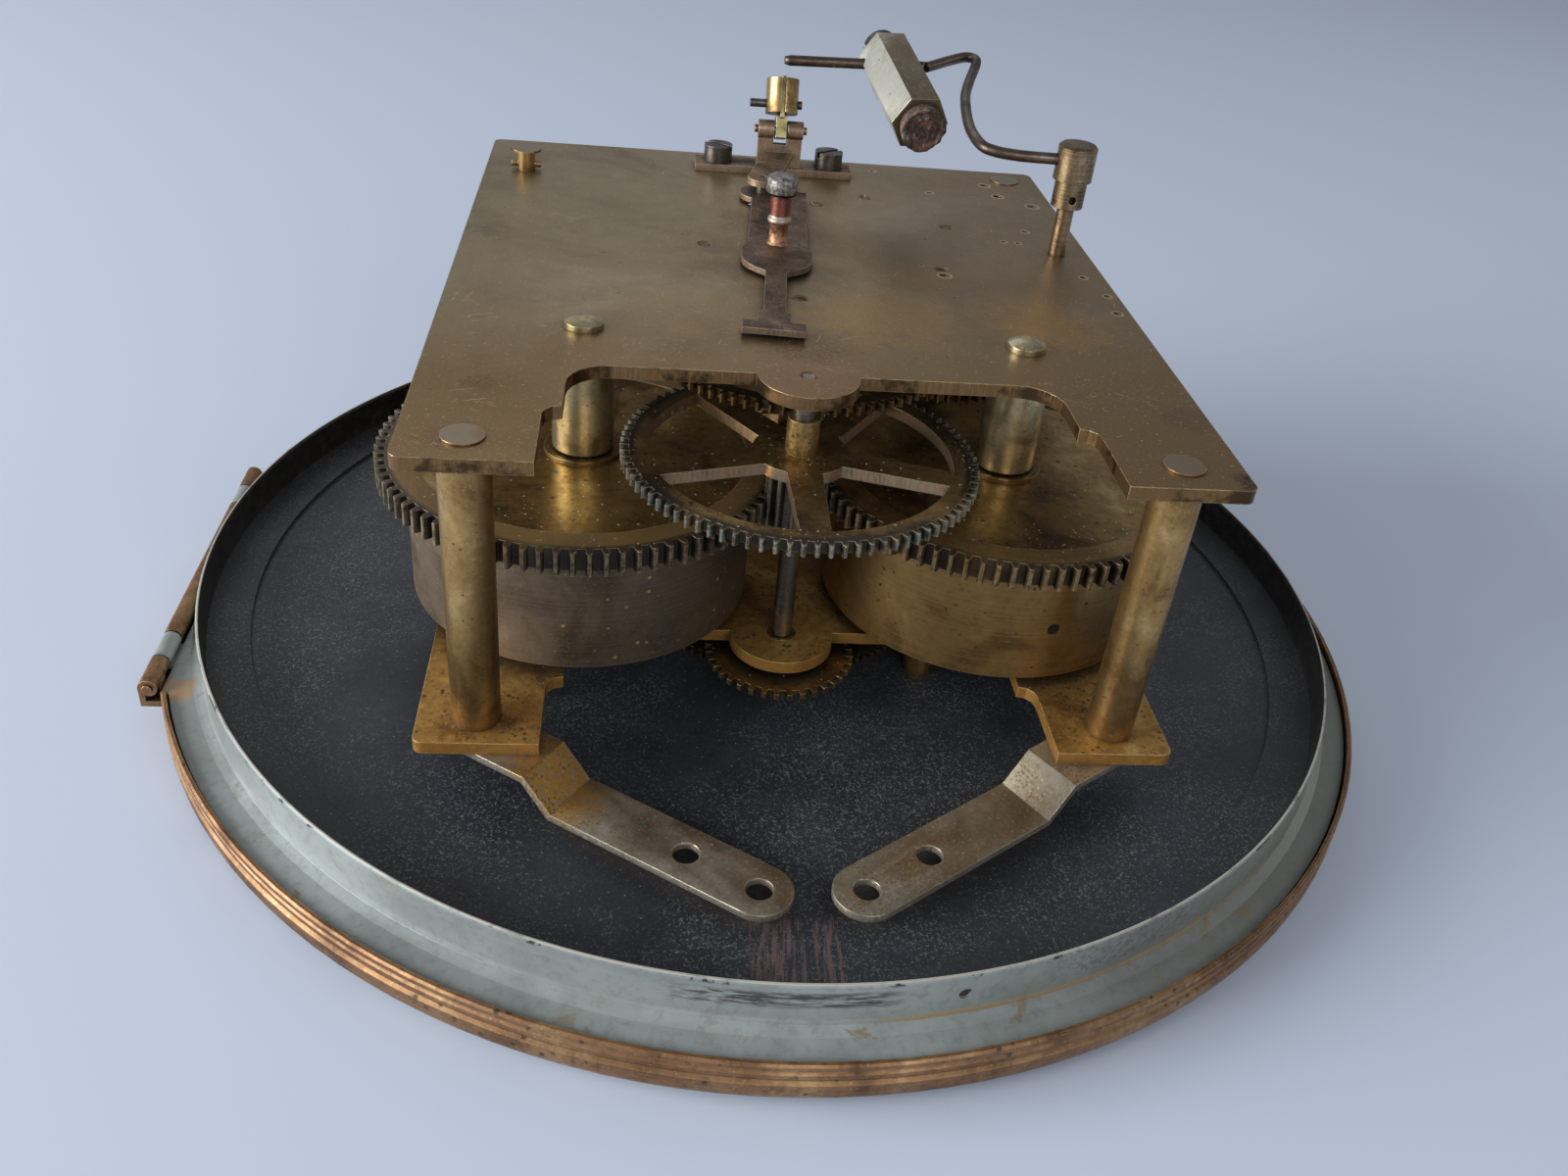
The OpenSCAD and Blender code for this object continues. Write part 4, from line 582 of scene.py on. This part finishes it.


# Grey-green paint, streaked along the wall, scraped, marked with stains and rubbed to tan; black inside the
# wall; painted shade on its right side and in its corners
def paintedRing(name):
    s = Shader(name)
    radius, level, x, y = s.away(0, 0), s.along("Z"), s.along("X"), s.along("Y")
    clouds = s.noise(26, 6, 0.6, twist=0.6)
    fine = s.noise(1.5, 5, 0.65)
    paint = s.tone(s.band(clouds, 0.32, 0.68), (0.23, 0.25, 0.235), (0.34, 0.37, 0.35))
    bands = s.rings(1.6, s.mathOpen("ADD", radius, level))
    paint = s.tone(s.band(bands, 0.45, 0.7, 0, 0.12), paint, (0.37, 0.40, 0.385))
    fillet = s.both(s.between(level, 7.3, 7.9, 8.3, 9.3), s.band(s.noise(6, 3), 0.35, 0.6), 0.45)
    paint = s.tone(fillet, paint, (0.40, 0.45, 0.46))
    paint = s.tone(s.band(fine, 0.45, 0.75, 0, 0.45), paint, (0.15, 0.15, 0.125))
    flecks = s.both(s.band(s.noise(0.6, 3, 0.6), 0.64, 0.72), s.band(s.noise(12, 3, 0.6), 0.45, 0.6), 0.6)
    paint = s.tone(flecks, paint, (0.46, 0.44, 0.37))
    front = s.band(y, -60, -80)
    # painted shade: the paint darker towards +x, away from the window lamp
    paint = s.tone(s.band(x, 5, 75, 0, 0.6), paint, (0.155, 0.155, 0.12))
    crust = s.both(s.band(x, 0, 14), front, s.between(level, 8.0, 8.2, 8.6, 8.9))
    paint = s.tone(s.both(crust, s.band(s.noise(2.5, 4, 0.6), 0.34, 0.46)), paint, (0.38, 0.275, 0.15))
    scrape = s.band(s.noise(1.0, 4, 0.7, vector=s.streaks((7, 0.5, 0.5))), 0.42, 0.56)
    scraped = s.both(s.between(x, -22, -14, 6, 11), front, s.between(level, 10.6, 11.4, 13.2, 14.0), scrape)
    paint = s.tone(s.math("MULTIPLY", scraped, 0.9), paint, (0.045, 0.038, 0.035))
    worn = s.both(s.between(x, 26, 34, 48, 60), front, s.band(level, 9.5, 10.5))
    worn = s.both(worn, s.band(s.noise(0.7, 4, 0.7), 0.45, 0.6), 0.55)
    paint = s.tone(worn, paint, (0.10, 0.08, 0.065))
    stain = s.both(s.band(s.noise(8, 5, 0.7, twist=1.0), 0.58, 0.66), s.band(level, 9, 7.6, 0.25, 0.85))
    paint = s.tone(stain, paint, (0.25, 0.185, 0.11))
    bare = s.both(s.band(x, -91.5, -92.5), s.between(y, -36, -34.5, -31, -29.5))
    paint = s.tone(bare, paint, (0.42, 0.27, 0.16))
    chips = s.both(s.edges(0.35), s.band(s.noise(2.6, 4, 0.65), 0.42, 0.52), 0.85)
    paint = s.tone(chips, paint, (0.46, 0.45, 0.41))
    nicks = s.both(s.band(level, 14.2, 14.7), s.band(s.noise(3.2, 3, 0.6), 0.60, 0.66))
    paint = s.tone(nicks, paint, (0.04, 0.035, 0.03))
    rolled = s.both(s.band(level, 14.9, 15.0), s.band(s.noise(4, 4, 0.6), 0.32, 0.48))
    paint = s.tone(rolled, paint, (0.50, 0.47, 0.40))
    black = s.tone(s.band(fine, 0.4, 0.8), (0.012, 0.012, 0.013), (0.06, 0.055, 0.05))
    colour = s.tone(s.band(radius, 95.72, 95.76, 1, 0), paint, black)
    # painted shade: the paint darkened in corners and next to the movement
    colour = s.tone(s.band(s.corners(2.5), 0.3, 0.85, 0.75, 0), colour, (0.05, 0.045, 0.038))
    rough = s.band(clouds, 0.3, 0.7, 0.30, 0.42)
    return s.finish(colour, rough, 0.1, s.math("SUBTRACT", fine, scraped), 0.05, 0.4, 0.15)


# Black back of the dial: wiped dust, pale grains and short fibres, a scraped patch at the front edge
def dialBack(s):
    x, y = s.along("X"), s.along("Y")
    clouds = s.noise(34, 5, 0.6, twist=0.8)
    smear = s.noise(1.0, 5, 0.65, vector=s.streaks((40, 9, 9), 0.5))
    back = s.tone(s.band(clouds, 0.3, 0.7), (0.016, 0.0195, 0.025), (0.034, 0.040, 0.050))
    back = s.tone(s.band(smear, 0.5, 0.75, 0, 0.3), back, (0.065, 0.069, 0.075))
    dense = s.band(s.noise(20, 4, 0.6), 0.36, 0.62, 0.15, 1)
    small = s.both(s.dots(0.7, 0.19, 0.3, True), dense, 0.6)
    grains = s.math("MAXIMUM", s.both(s.dots(2.7, 0.06, 0.5, True), 0.8), small)
    grains = s.math("MAXIMUM", grains, s.both(s.band(s.noise(0.5, 2, 0.6), 0.58, 0.70), dense, 0.7))
    for turn in (0.2, 1.15, 2.2):
        hair = s.noise(1.0, 1, 0.5, vector=s.streaks((0.9, 0.17, 0.9), turn))
        grains = s.math("MAXIMUM", grains, s.both(s.band(hair, 0.66, 0.74), dense))
    back = s.tone(s.math("MULTIPLY", grains, 0.7), back, (0.31, 0.31, 0.305))
    streak = s.noise(1.0, 4, 0.7, vector=s.streaks((0.7, 9, 9), -0.08))
    bars = s.math("MAXIMUM", s.between(x, -9, -8.2, -1.8, -1.2), s.between(x, -0.4, 0.2, 3.4, 4.2))
    scraped = s.both(bars, s.between(y, -91.5, -90.5, -80.5, -78.5), s.band(streak, 0.44, 0.58))
    back = s.tone(s.math("MULTIPLY", scraped, 0.7), back, (0.20, 0.125, 0.11))
    return s.tone(s.band(s.corners(7), 0.3, 0.8, 0.55, 0), back, (0.07, 0.055, 0.042))


# Cream enamel of the dial's front, faintly spotted and yellowed towards the rim
def dialEnamel(s):
    front = s.tone(s.band(s.noise(30, 5, 0.6), 0.3, 0.7), (0.66, 0.61, 0.50), (0.76, 0.72, 0.62))
    front = s.tone(s.math("MULTIPLY", s.dots(5, 0.07, 0.4), 0.7), front, (0.36, 0.25, 0.13))
    return s.tone(s.band(s.away(0, 0), 84, 95, 0, 0.35), front, (0.48, 0.37, 0.22))


def dialFaces(name):
    s = Shader(name)
    isFront = s.band(s.along("Z"), 7.3, 7.5, 1, 0)
    colour = s.tone(isFront, dialBack(s), dialEnamel(s))
    rough = s.band(isFront, 0, 1, 0.46, 0.28)
    return s.finish(colour, rough, 0.0, s.noise(0.7, 4, 0.7), 0.03, 0.3, 0.15)


# Leather torn at the tip: dark pressed fibres, pale where they break, rusty in the middle
def wornLeather(name):
    s = Shader(name)
    fibres = s.noise(1.0, 5, 0.75, vector=s.streaks((0.9, 0.9, 3.5)))
    fine = s.noise(0.5, 5, 0.7)
    colour = s.tone(s.band(fine, 0.32, 0.62), (0.012, 0.009, 0.008), (0.11, 0.07, 0.05))
    colour = s.tone(s.band(s.noise(2.5, 3), 0.52, 0.62, 0, 0.7), colour, (0.20, 0.075, 0.04))
    colour = s.tone(s.band(fibres, 0.53, 0.68, 0, 0.75), colour, (0.42, 0.38, 0.35))
    return s.finish(colour, 0.75, 0.0, s.math("ADD", fine, fibres), 0.3, 0.9)


# Crutch pin: zones by height over the plate
def bandedPin(name):
    s = Shader(name)
    high = s.mathOpen("SUBTRACT", s.along("Z"), plateTop)
    fine = s.noise(0.7, 5, 0.7)
    colour = s.tone(s.band(fine, 0.35, 0.6), (0.16, 0.075, 0.04), (0.46, 0.25, 0.14))
    colour = s.tone(s.band(high, 5.3, 5.5), colour, (0.40, 0.33, 0.27))
    red = s.tone(s.band(fine, 0.46, 0.58), (0.17, 0.035, 0.022), (0.07, 0.045, 0.036))
    colour = s.tone(s.band(high, 6.3, 6.5), colour, red)
    colour = s.tone(s.band(high, 9.5, 9.8), colour, (0.02, 0.015, 0.012))
    cap = s.tone(s.band(fine, 0.4, 0.65), (0.13, 0.12, 0.11), (0.42, 0.39, 0.35))
    colour = s.tone(s.band(high, 10.3, 10.4), colour, cap)
    colour = s.tone(s.both(s.edges(0.3), 0.7), colour, (0.5, 0.42, 0.34))
    return s.finish(colour, s.band(fine, 0.3, 0.7, 0.32, 0.55), 0.7, fine, 0.12, 0.6)


def blackPaint(name):
    s = Shader(name)
    clouds = s.noise(4, 4, 0.6)
    colour = s.tone(s.band(clouds, 0.3, 0.7), (0.012, 0.012, 0.013), (0.03, 0.03, 0.032))
    colour = s.tone(s.math("MULTIPLY", s.edges(0.2), 0.6), colour, (0.22, 0.20, 0.16))
    return s.finish(colour, s.band(clouds, 0.3, 0.7, 0.3, 0.45), 0.1, clouds, 0.02, 0.3)


def clearGlass(name):
    s = Shader(name)
    smear = s.noise(25, 5, 0.6, twist=0.8)
    s.finish((0.96, 0.985, 0.98), s.band(smear, 0.45, 0.75, 0.02, 0.09), 0.0)
    s.body.inputs["Transmission Weight"].default_value = 1.0
    s.body.inputs["IOR"].default_value = 1.46
    return s.material


setCamera()
setStudio()
print("stage: camera and studio")

made = {name: tarnishedMetal(name, look) for name, look in finishes.items()}
paints = {"ringPaint": paintedRing, "dialFaces": dialFaces, "leather": wornLeather, "bandedPin": bandedPin,
          "handPaint": blackPaint, "glass": clearGlass}
made.update({name: paint(name) for name, paint in paints.items()})

dress = {
    "plateBrass": ["rear_plate"],
    "footBrass": ["front_plate"],
    "pillarBrass": ["pillars", "dial_feet", "corner_post"],
    "domeBrass": ["barrel_bushes"],
    "leftDrum": ["time_barrel"],
    "rightDrum": ["strike_barrel"],
    "capBrass": ["time_barrel_cap", "strike_barrel_cap"],
    "greatWheel": ["second_wheel"],
    "wheelBrass": ["centre_wheel", "third_wheel", "pin_wheel", "locking_wheel", "warning_wheel",
                   "cannon_wheel", "minute_wheel", "hour_wheel"],
    "brightBrass": ["minute_stud", "suspension_pin", "suspension_block", "fly", "escape_wheel"],
    "collarBrass": ["hammer_arbor"],
    "paleBrass": ["hammer_head"],
    "strapSteel": ["mounting_strap_left", "mounting_strap_right"],
    "arborSteel": ["time_winding_arbor", "strike_winding_arbor", "time_ratchet", "strike_ratchet",
                   "time_click", "strike_click", "click_springs", "second_arbor", "anchor", "release_lever",
                   "lifting_arm"],
    "screwSteel": ["pillar_screws", "click_screws", "bridge_screws", "dial_screws", "hammer_screw",
                   "block_pin"],
    "rustySteel": ["crutch"],
    "bridgeSteel": ["suspension_bridge"],
    "wireSteel": ["hammer_wire"],
    "bandedPin": ["crutch_pin"],
    "bezelBrass": ["bezel", "hinge_pin"],
    "springGold": ["suspension_spring"],
    "blueSteel": ["time_mainspring", "strike_mainspring"],
    "ringPaint": ["dial_ring"],
    "dialFaces": ["dial_plate"],
    "leather": ["hammer_leather"],
    "handPaint": ["hour_hand", "minute_hand"],
    "glass": ["glass"],
}
for finishName, nodeNames in dress.items():
    for nodeName in nodeNames:
        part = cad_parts[nodeName]
        part.data.materials.clear()
        part.data.materials.append(made[finishName])
print("stage: metals and paints on", sum(len(n) for n in dress.values()), "parts")


def meshPiece(name, points, faces, finishName, bodyName, smooth=True):
    mesh = bpy.data.meshes.new(name)
    mesh.from_pydata([tuple(p) for p in np.asarray(points) * mm], [], [tuple(f) for f in faces])
    mesh.validate()
    mesh.polygons.foreach_set("use_smooth", [smooth] * len(mesh.polygons))
    mesh.materials.append(made[finishName])
    mesh.update()
    piece = bpy.data.objects.new(name, mesh)
    bpy.context.scene.collection.objects.link(piece)
    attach(piece, bodyName)
    return piece


# Four-cornered faces between rings of points that follow one another; closed joins the last to the first
def ringFaces(count, sides, start=0, closed=False):
    faces = []
    for i in range(count if closed else count - 1):
        a, b = start + i * sides, start + (i + 1) % count * sides
        faces += [(a + j, a + (j + 1) % sides, b + (j + 1) % sides, b + j) for j in range(sides)]
    return faces


# Two fans that close a tube on the two points that follow its rings
def endFans(count, sides):
    last = (count - 1) * sides
    faces = [(count * sides, (j + 1) % sides, j) for j in range(sides)]
    return faces + [(count * sides + 1, last + j, last + (j + 1) % sides) for j in range(sides)]


# A round rod along points: each ring stands square to the path, its sides carried on from the ring before
def rodMesh(path, radii, sides):
    path = np.asarray(path, float)
    along = np.gradient(path, axis=0)
    along /= np.linalg.norm(along, axis=1)[:, None]
    side = np.cross(along[0], (0, 0, 1.0) if abs(along[0][2]) < 0.9 else (1.0, 0, 0))
    turns = np.arange(sides) * 2 * pi / sides
    rings = []
    for place, direction, radius in zip(path, along, radii):
        side = side - direction * (side @ direction)
        side /= np.linalg.norm(side)
        up = np.cross(direction, side)
        rings.append(place + radius * (np.outer(np.cos(turns), side) + np.outer(np.sin(turns), up)))
    points = np.concatenate(rings + [path[:1], path[-1:]])
    return points, ringFaces(len(path), sides) + endFans(len(path), sides)


# A smooth curve through the knots: at each one it keeps the direction set by the knots on either side
def smoothPath(knots, steps):
    knots = np.asarray(knots, float)
    ends = np.concatenate([[2 * knots[0] - knots[1]], knots, [2 * knots[-1] - knots[-2]]])
    out = []
    for a, b, c, d in zip(ends, ends[1:], ends[2:], ends[3:]):
        for t in np.arange(steps) / steps:
            bend = (2 * a - 5 * b + 4 * c - d) * t * t + (3 * b - a - 3 * c + d) * t ** 3
            out.append(0.5 * (2 * b + (c - a) * t + bend))
    return np.array(out + [knots[-1]])


# The hammer's wire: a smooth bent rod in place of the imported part's coarse one
wire = {
    "foot": (*hammerArbor, plateTop),
    "knots": [(-1, 0, 16.9), (-5, 0, 16.9), (-10.4, 0.1, 17), (-14.4, 1.2, 17.2), (-16.3, 4, 17.5),
              (-16.8, 12.1, 18.3), (-15.3, 24.8, 19.7), (-13.1, 33.6, 20.6), (-10.1, 43, 21.8),
              (-9.6, 46.2, 22.3), (-11.4, 47.2, 22.4), (-15.4, 43.8, 22.2)],
    "head": (-27.9, 38.2, 21.8),
    "run": (-1, -0.03, -0.02),
    "reach": (-7.4, -5.8, 6, 20.4),
    "radius": 0.97,
}
run = np.array(wire["run"]) / np.linalg.norm(wire["run"])
knots = wire["knots"] + [np.array(wire["head"]) + d * run for d in wire["reach"]]
path = smoothPath(knots, 14) + np.array(wire["foot"])
radii = np.full(len(path), wire["radius"])
radii[-1] *= 0.7
radii[0] *= 0.9
points, faces = rodMesh(path, radii, 20)
wirePiece = meshPiece("hammerWireSmooth", points, faces, "wireSteel", "hammer")
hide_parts("hammer_wire")

# The head's own axis: +Z points to the clamp screw, the leather is on the other side
head = {"lean": -75, "turn": 10}
headTurn = Euler((radians(head["lean"]), 0, radians(head["turn"])), "XYZ").to_matrix()
headPlace = Vector(wire["foot"]) + Vector(wire["head"])

# Leather tip: a rolled strip, frayed at the end. Its radius is a sum of waves round the roll, which grow
# towards the torn end
leather = {"base": -17.7, "tip": -23.55, "neck": 3.5, "mouth": 4.5, "wall": 0.25, "crease": 0.16,
           "rings": 26, "innerRings": 9, "sides": 72, "seed": 5}


def rolledLeather():
    rng = np.random.default_rng(leather["seed"])
    down = np.linspace(0, 1, leather["rings"])
    turns = np.arange(leather["sides"]) * 2 * pi / leather["sides"]
    waves = [(k, rng.uniform(0, 2 * pi), rng.uniform(-3, 3), rng.uniform(0.4, 1.0) / k ** 0.7)
             for k in (2, 3, 5, 7, 9, 13, 17)]
    rings = []
    for d in down:
        wave = sum(w * np.sin(k * turns + phase + twist * d) for k, phase, twist, w in waves)
        even = leather["neck"] + (leather["mouth"] - leather["neck"]) * d ** 0.7 - leather["wall"]
        radius = even - leather["crease"] * (0.3 + d) * np.abs(wave)
        height = leather["base"] + (leather["tip"] - leather["base"]) * d + (0.12 + 0.25 * d) * wave * d
        height = np.clip(height, leather["tip"], leather["base"])
        rings.append(np.stack([radius * np.cos(turns), radius * np.sin(turns), height], 1))
    inner = leather["innerRings"]
    for step in range(1, inner):
        share = 1 - step / inner
        wave = sum(w * np.sin(k * turns + phase + 2 * twist * share) for k, phase, twist, w in waves)
        radius = (leather["mouth"] - 0.35) * share - 0.10 * np.abs(wave) * share
        layer = 0.45 * np.cos(step * 2.4) + 0.25 * wave * share
        height = np.clip(leather["tip"] + 0.5 + 0.5 * layer, leather["tip"], 0)
        rings.append(np.stack([radius * np.cos(turns), radius * np.sin(turns), height], 1))
    points = np.concatenate(rings + [np.array([[0, 0, leather["tip"] + 0.6], [0, 0, leather["base"]]])])
    sides, count = leather["sides"], len(rings)
    faces = [(a, d, c, b) for a, b, c, d in ringFaces(count, sides)]
    last = (count - 1) * sides
    faces += [(last + j, count * sides, last + (j + 1) % sides) for j in range(sides)]
    faces += [(j, (j + 1) % sides, count * sides + 1) for j in range(sides)]
    turned = [headPlace + headTurn @ Vector(p) for p in points]
    return turned, faces


points, faces = rolledLeather()
leatherPiece = meshPiece("rolledLeatherTip", points, faces, "leather", "hammer")
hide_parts("hammer_leather")
print("stage: hammer wire and leather")


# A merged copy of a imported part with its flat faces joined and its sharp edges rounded
def softened(nodeName, finishName, slotName, bodyName):
    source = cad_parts[nodeName]
    mesh = source.data.copy()
    mesh.name = nodeName + "Soft"
    work = bmesh.new()
    work.from_mesh(mesh)
    bmesh.ops.remove_doubles(work, verts=work.verts, dist=1e-6)
    bmesh.ops.dissolve_limit(work, angle_limit=radians(0.6), verts=work.verts, edges=work.edges)
    for face in work.faces:
        face.smooth = True
    work.to_mesh(mesh)
    work.free()
    mesh.materials.clear()
    mesh.materials.append(made[finishName])
    piece = bpy.data.objects.new(nodeName + "Soft", mesh)
    bpy.context.scene.collection.objects.link(piece)
    bevel = piece.modifiers.new("bevel", "BEVEL")
    bevel.limit_method = "ANGLE"
    bevel.angle_limit = radians(rounding["sharp"])
    bevel.width = rounding["width"] * mm
    bevel.segments = rounding["steps"]
    bevel.harden_normals = True
    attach(piece, bodyName)
    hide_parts(nodeName)


rounding = {"width": 0.35, "steps": 3, "sharp": 40}
softParts = [
    ("hammer_head", "paleBrass", "pale_brass", "hammer"),
    ("mounting_strap_left", "strapSteel", "nickelled_steel", "frame"),
    ("mounting_strap_right", "strapSteel", "nickelled_steel", "frame"),
]
for row in softParts:
    softened(*row)
print("stage: softened copies")


# A profile of radius and height carried round an upright axis; it closes on the axis at both ends
def turnedMesh(profile, place, sides):
    profile = np.asarray(profile, float)
    turns = np.arange(sides) * 2 * pi / sides
    ring = np.stack([np.cos(turns), np.sin(turns), np.zeros(sides)], 1)
    points = (profile[:, None, :1] * ring + profile[:, None, 1:] * (0, 0, 1)).reshape(-1, 3)
    points = np.concatenate([points, [[0, 0, profile[0, 1]], [0, 0, profile[-1, 1]]]]) + (*place, 0)
    return points, ringFaces(len(profile), sides) + endFans(len(profile), sides)


# Crutch pin: copper foot, pale ring, red sleeve, a groove and a grey cap with a rounded top.
# It stands on the crutch, which leans by 5 degrees at rest; the offset is from the anchor's arbor
pin = {
    "lean": 5,
    "offset": (3.2, -26.4),
    "base": 64.5,
    "profile": [(2.0, 0), (2.0, 0.5), (1.6, 0.7), (1.55, 3.9), (1.9, 4.05), (2.05, 4.3), (2.05, 4.7),
                (1.9, 4.95), (1.72, 5.1), (1.75, 8.3), (1.45, 8.5), (1.45, 8.8), (2.45, 8.95), (2.65, 9.2),
                (2.65, 11.2), (2.5, 11.7), (2.0, 12.05), (1.1, 12.1)],
}
u, v = pin["offset"]
lean = radians(pin["lean"])
pinPlace = (anchorArbor[0] + u * cos(lean) + v * sin(lean), anchorArbor[1] - u * sin(lean) + v * cos(lean))
points, faces = turnedMesh(np.array(pin["profile"]) + (0, pin["base"]), pinPlace, 40)
pinPiece = meshPiece("crutchPinTurned", points, faces, "bandedPin", "anchor")
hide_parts("crutch_pin")
print("stage: crutch pin")

# Dial print: a minute track and twelve numerals, each stroke a flat thin bar on the enamel
dialMarks = {
    "front": 6.9, "depth": 0.04, "track": (86.2, 90.2), "line": 0.35, "minuteBar": 0.45, "hourBar": 1.5,
    "numeral": (66.0, 83.0), "thick": 2.5, "thin": 0.8, "serif": 0.7, "space": 1.5, "bed": 0.02,
}
numeralWords = ["XII", "I", "II", "III", "IIII", "V", "VI", "VII", "VIII", "IX", "X", "XI"]


# The four-cornered strokes of one numeral, in mm, u to its right and v outwards
def numeralStrokes(word):
    low, high = dialMarks["numeral"]
    thick, thin, serif, space = (dialMarks[k] for k in ("thick", "thin", "serif", "space"))
    widths = {"I": thick, "V": 8.2, "X": 8.6}
    total = sum(widths[c] for c in word) + space * (len(word) - 1)
    strokes, at = [], -total / 2
    for letter in word:
        width = widths[letter]
        left, right = at, at + width
        if letter == "I":
            strokes += [[(left, low), (right, low), (right, high), (left, high)]]
            bars = [(left - 0.5, right + 0.5, low), (left - 0.5, right + 0.5, high - serif)]
        elif letter == "V":
            mid = (left + right) / 2
            strokes += [[(mid - 0.9, low), (mid + thick - 0.9, low), (left + thick, high), (left, high)],
                        [(mid - 0.2, low), (mid + 0.9, low), (right, high), (right - thin, high)]]
            bars = [(left - 0.4, left + thick + 0.4, high - serif),
                    (right - thin - 1, right + 0.6, high - serif)]
        else:
            strokes += [[(right - thick, low), (right, low), (left + thick, high), (left, high)],
                        [(left, low), (left + thin, low), (right, high), (right - thin, high)]]
            bars = [(right - thick - 0.4, right + 0.4, low), (left - 0.6, left + thin + 0.8, low),
                    (left - 0.4, left + thick + 0.4, high - serif),
                    (right - thin - 0.8, right + 0.6, high - serif)]
        strokes += [[(a, v), (b, v), (b, v + serif), (a, v + serif)] for a, b, v in bars]
        at += width + space
    return strokes


# The directions to the right and outwards of a mark at an angle from XII, for an eye in front of the dial
def dialAxes(angle):
    return np.array([-cos(angle), -sin(angle)]), np.array([-sin(angle), cos(angle)])


def dialPrint():
    quads = []
    for hour, word in enumerate(numeralWords):
        right, out = dialAxes(hour * pi / 6)
        quads += [[u * right + v * out for u, v in stroke] for stroke in numeralStrokes(word)]
    low, high = dialMarks["track"]
    for minute in range(60):
        right, out = dialAxes(minute * pi / 30)
        half = (dialMarks["hourBar"] if minute % 5 == 0 else dialMarks["minuteBar"]) / 2
        stroke = ((-half, low), (half, low), (half, high), (-half, high))
        quads.append([u * right + v * out for u, v in stroke])
    turns = np.arange(241) * 2 * pi / 240
    circle = np.stack([-np.sin(turns), np.cos(turns)], 1)
    for radius in (low, high - dialMarks["line"]):
        inner, outer = circle * radius, circle * (radius + dialMarks["line"])
        quads += [[inner[i + 1], inner[i], outer[i], outer[i + 1]] for i in range(240)]
    quads = np.array(quads)
    near, far = dialMarks["front"] - dialMarks["depth"], dialMarks["front"] + dialMarks["bed"]
    count = len(quads)
    flat = quads.reshape(-1, 2)
    points = np.concatenate([np.insert(flat, 2, level, axis=1) for level in (near, far)])
    base = np.arange(count) * 4
    faces = []
    for b in base:
        n = b + count * 4
        faces += [(b, b + 1, b + 2, b + 3), (n + 3, n + 2, n + 1, n)]
        faces += [(b + (k + 1) % 4, b + k, n + k, n + (k + 1) % 4) for k in range(4)]
    return points, faces


points, faces = dialPrint()
meshPiece("dialPrint", points, faces, "handPaint", "frame", smooth=False)

# Eyelets round the winding holes: a rounded brass rim on the dial's front
eyelet = {"places": [leftBarrel, rightBarrel], "hole": 4.35, "rim": 5.9, "front": 6.35, "seat": 6.95,
          "sides": 64}


# The rim's section, a low arch, is carried round the hole and closes on itself
def eyeletMesh():
    arch = np.linspace(0, pi, 9)
    middle, half = (eyelet["hole"] + eyelet["rim"]) / 2, (eyelet["rim"] - eyelet["hole"]) / 2
    radius = middle - half * np.cos(arch)
    level = eyelet["seat"] - (eyelet["seat"] - eyelet["front"]) * np.sin(arch)
    sides, count = eyelet["sides"], len(arch)
    turns = np.arange(sides) * 2 * pi / sides
    points, faces = [], []
    for x, y in eyelet["places"]:
        faces += ringFaces(count, sides, len(points) * sides * count, True)
        rings = np.stack([x + np.outer(radius, np.cos(turns)), y + np.outer(radius, np.sin(turns)),
                          np.repeat(level[:, None], sides, 1)], 2)
        points.append(rings.reshape(-1, 3))
    return np.concatenate(points), faces


points, faces = eyeletMesh()
meshPiece("windingEyelets", points, faces, "brightBrass", "frame")
print("stage: dial print and eyelets")

floorMaterial = bpy.data.materials.new("paleFloor")
floorMaterial.use_nodes = True
floorShader = floorMaterial.node_tree.nodes["Principled BSDF"]
floorShader.inputs["Base Color"].default_value = studio["floorColour"]
floorShader.inputs["Roughness"].default_value = studio["floorRough"]
floorMesh = bpy.data.meshes.new("floor")
corners = [(x, y, studio["floorLevel"]) for x, y in studio["floorCorners"]]
floorMesh.from_pydata(corners, [], [(0, 1, 2, 3)])
floor = bpy.data.objects.new("floor", floorMesh)
floor.data.materials.append(floorMaterial)
bpy.context.scene.collection.objects.link(floor)

print("stage: floor")
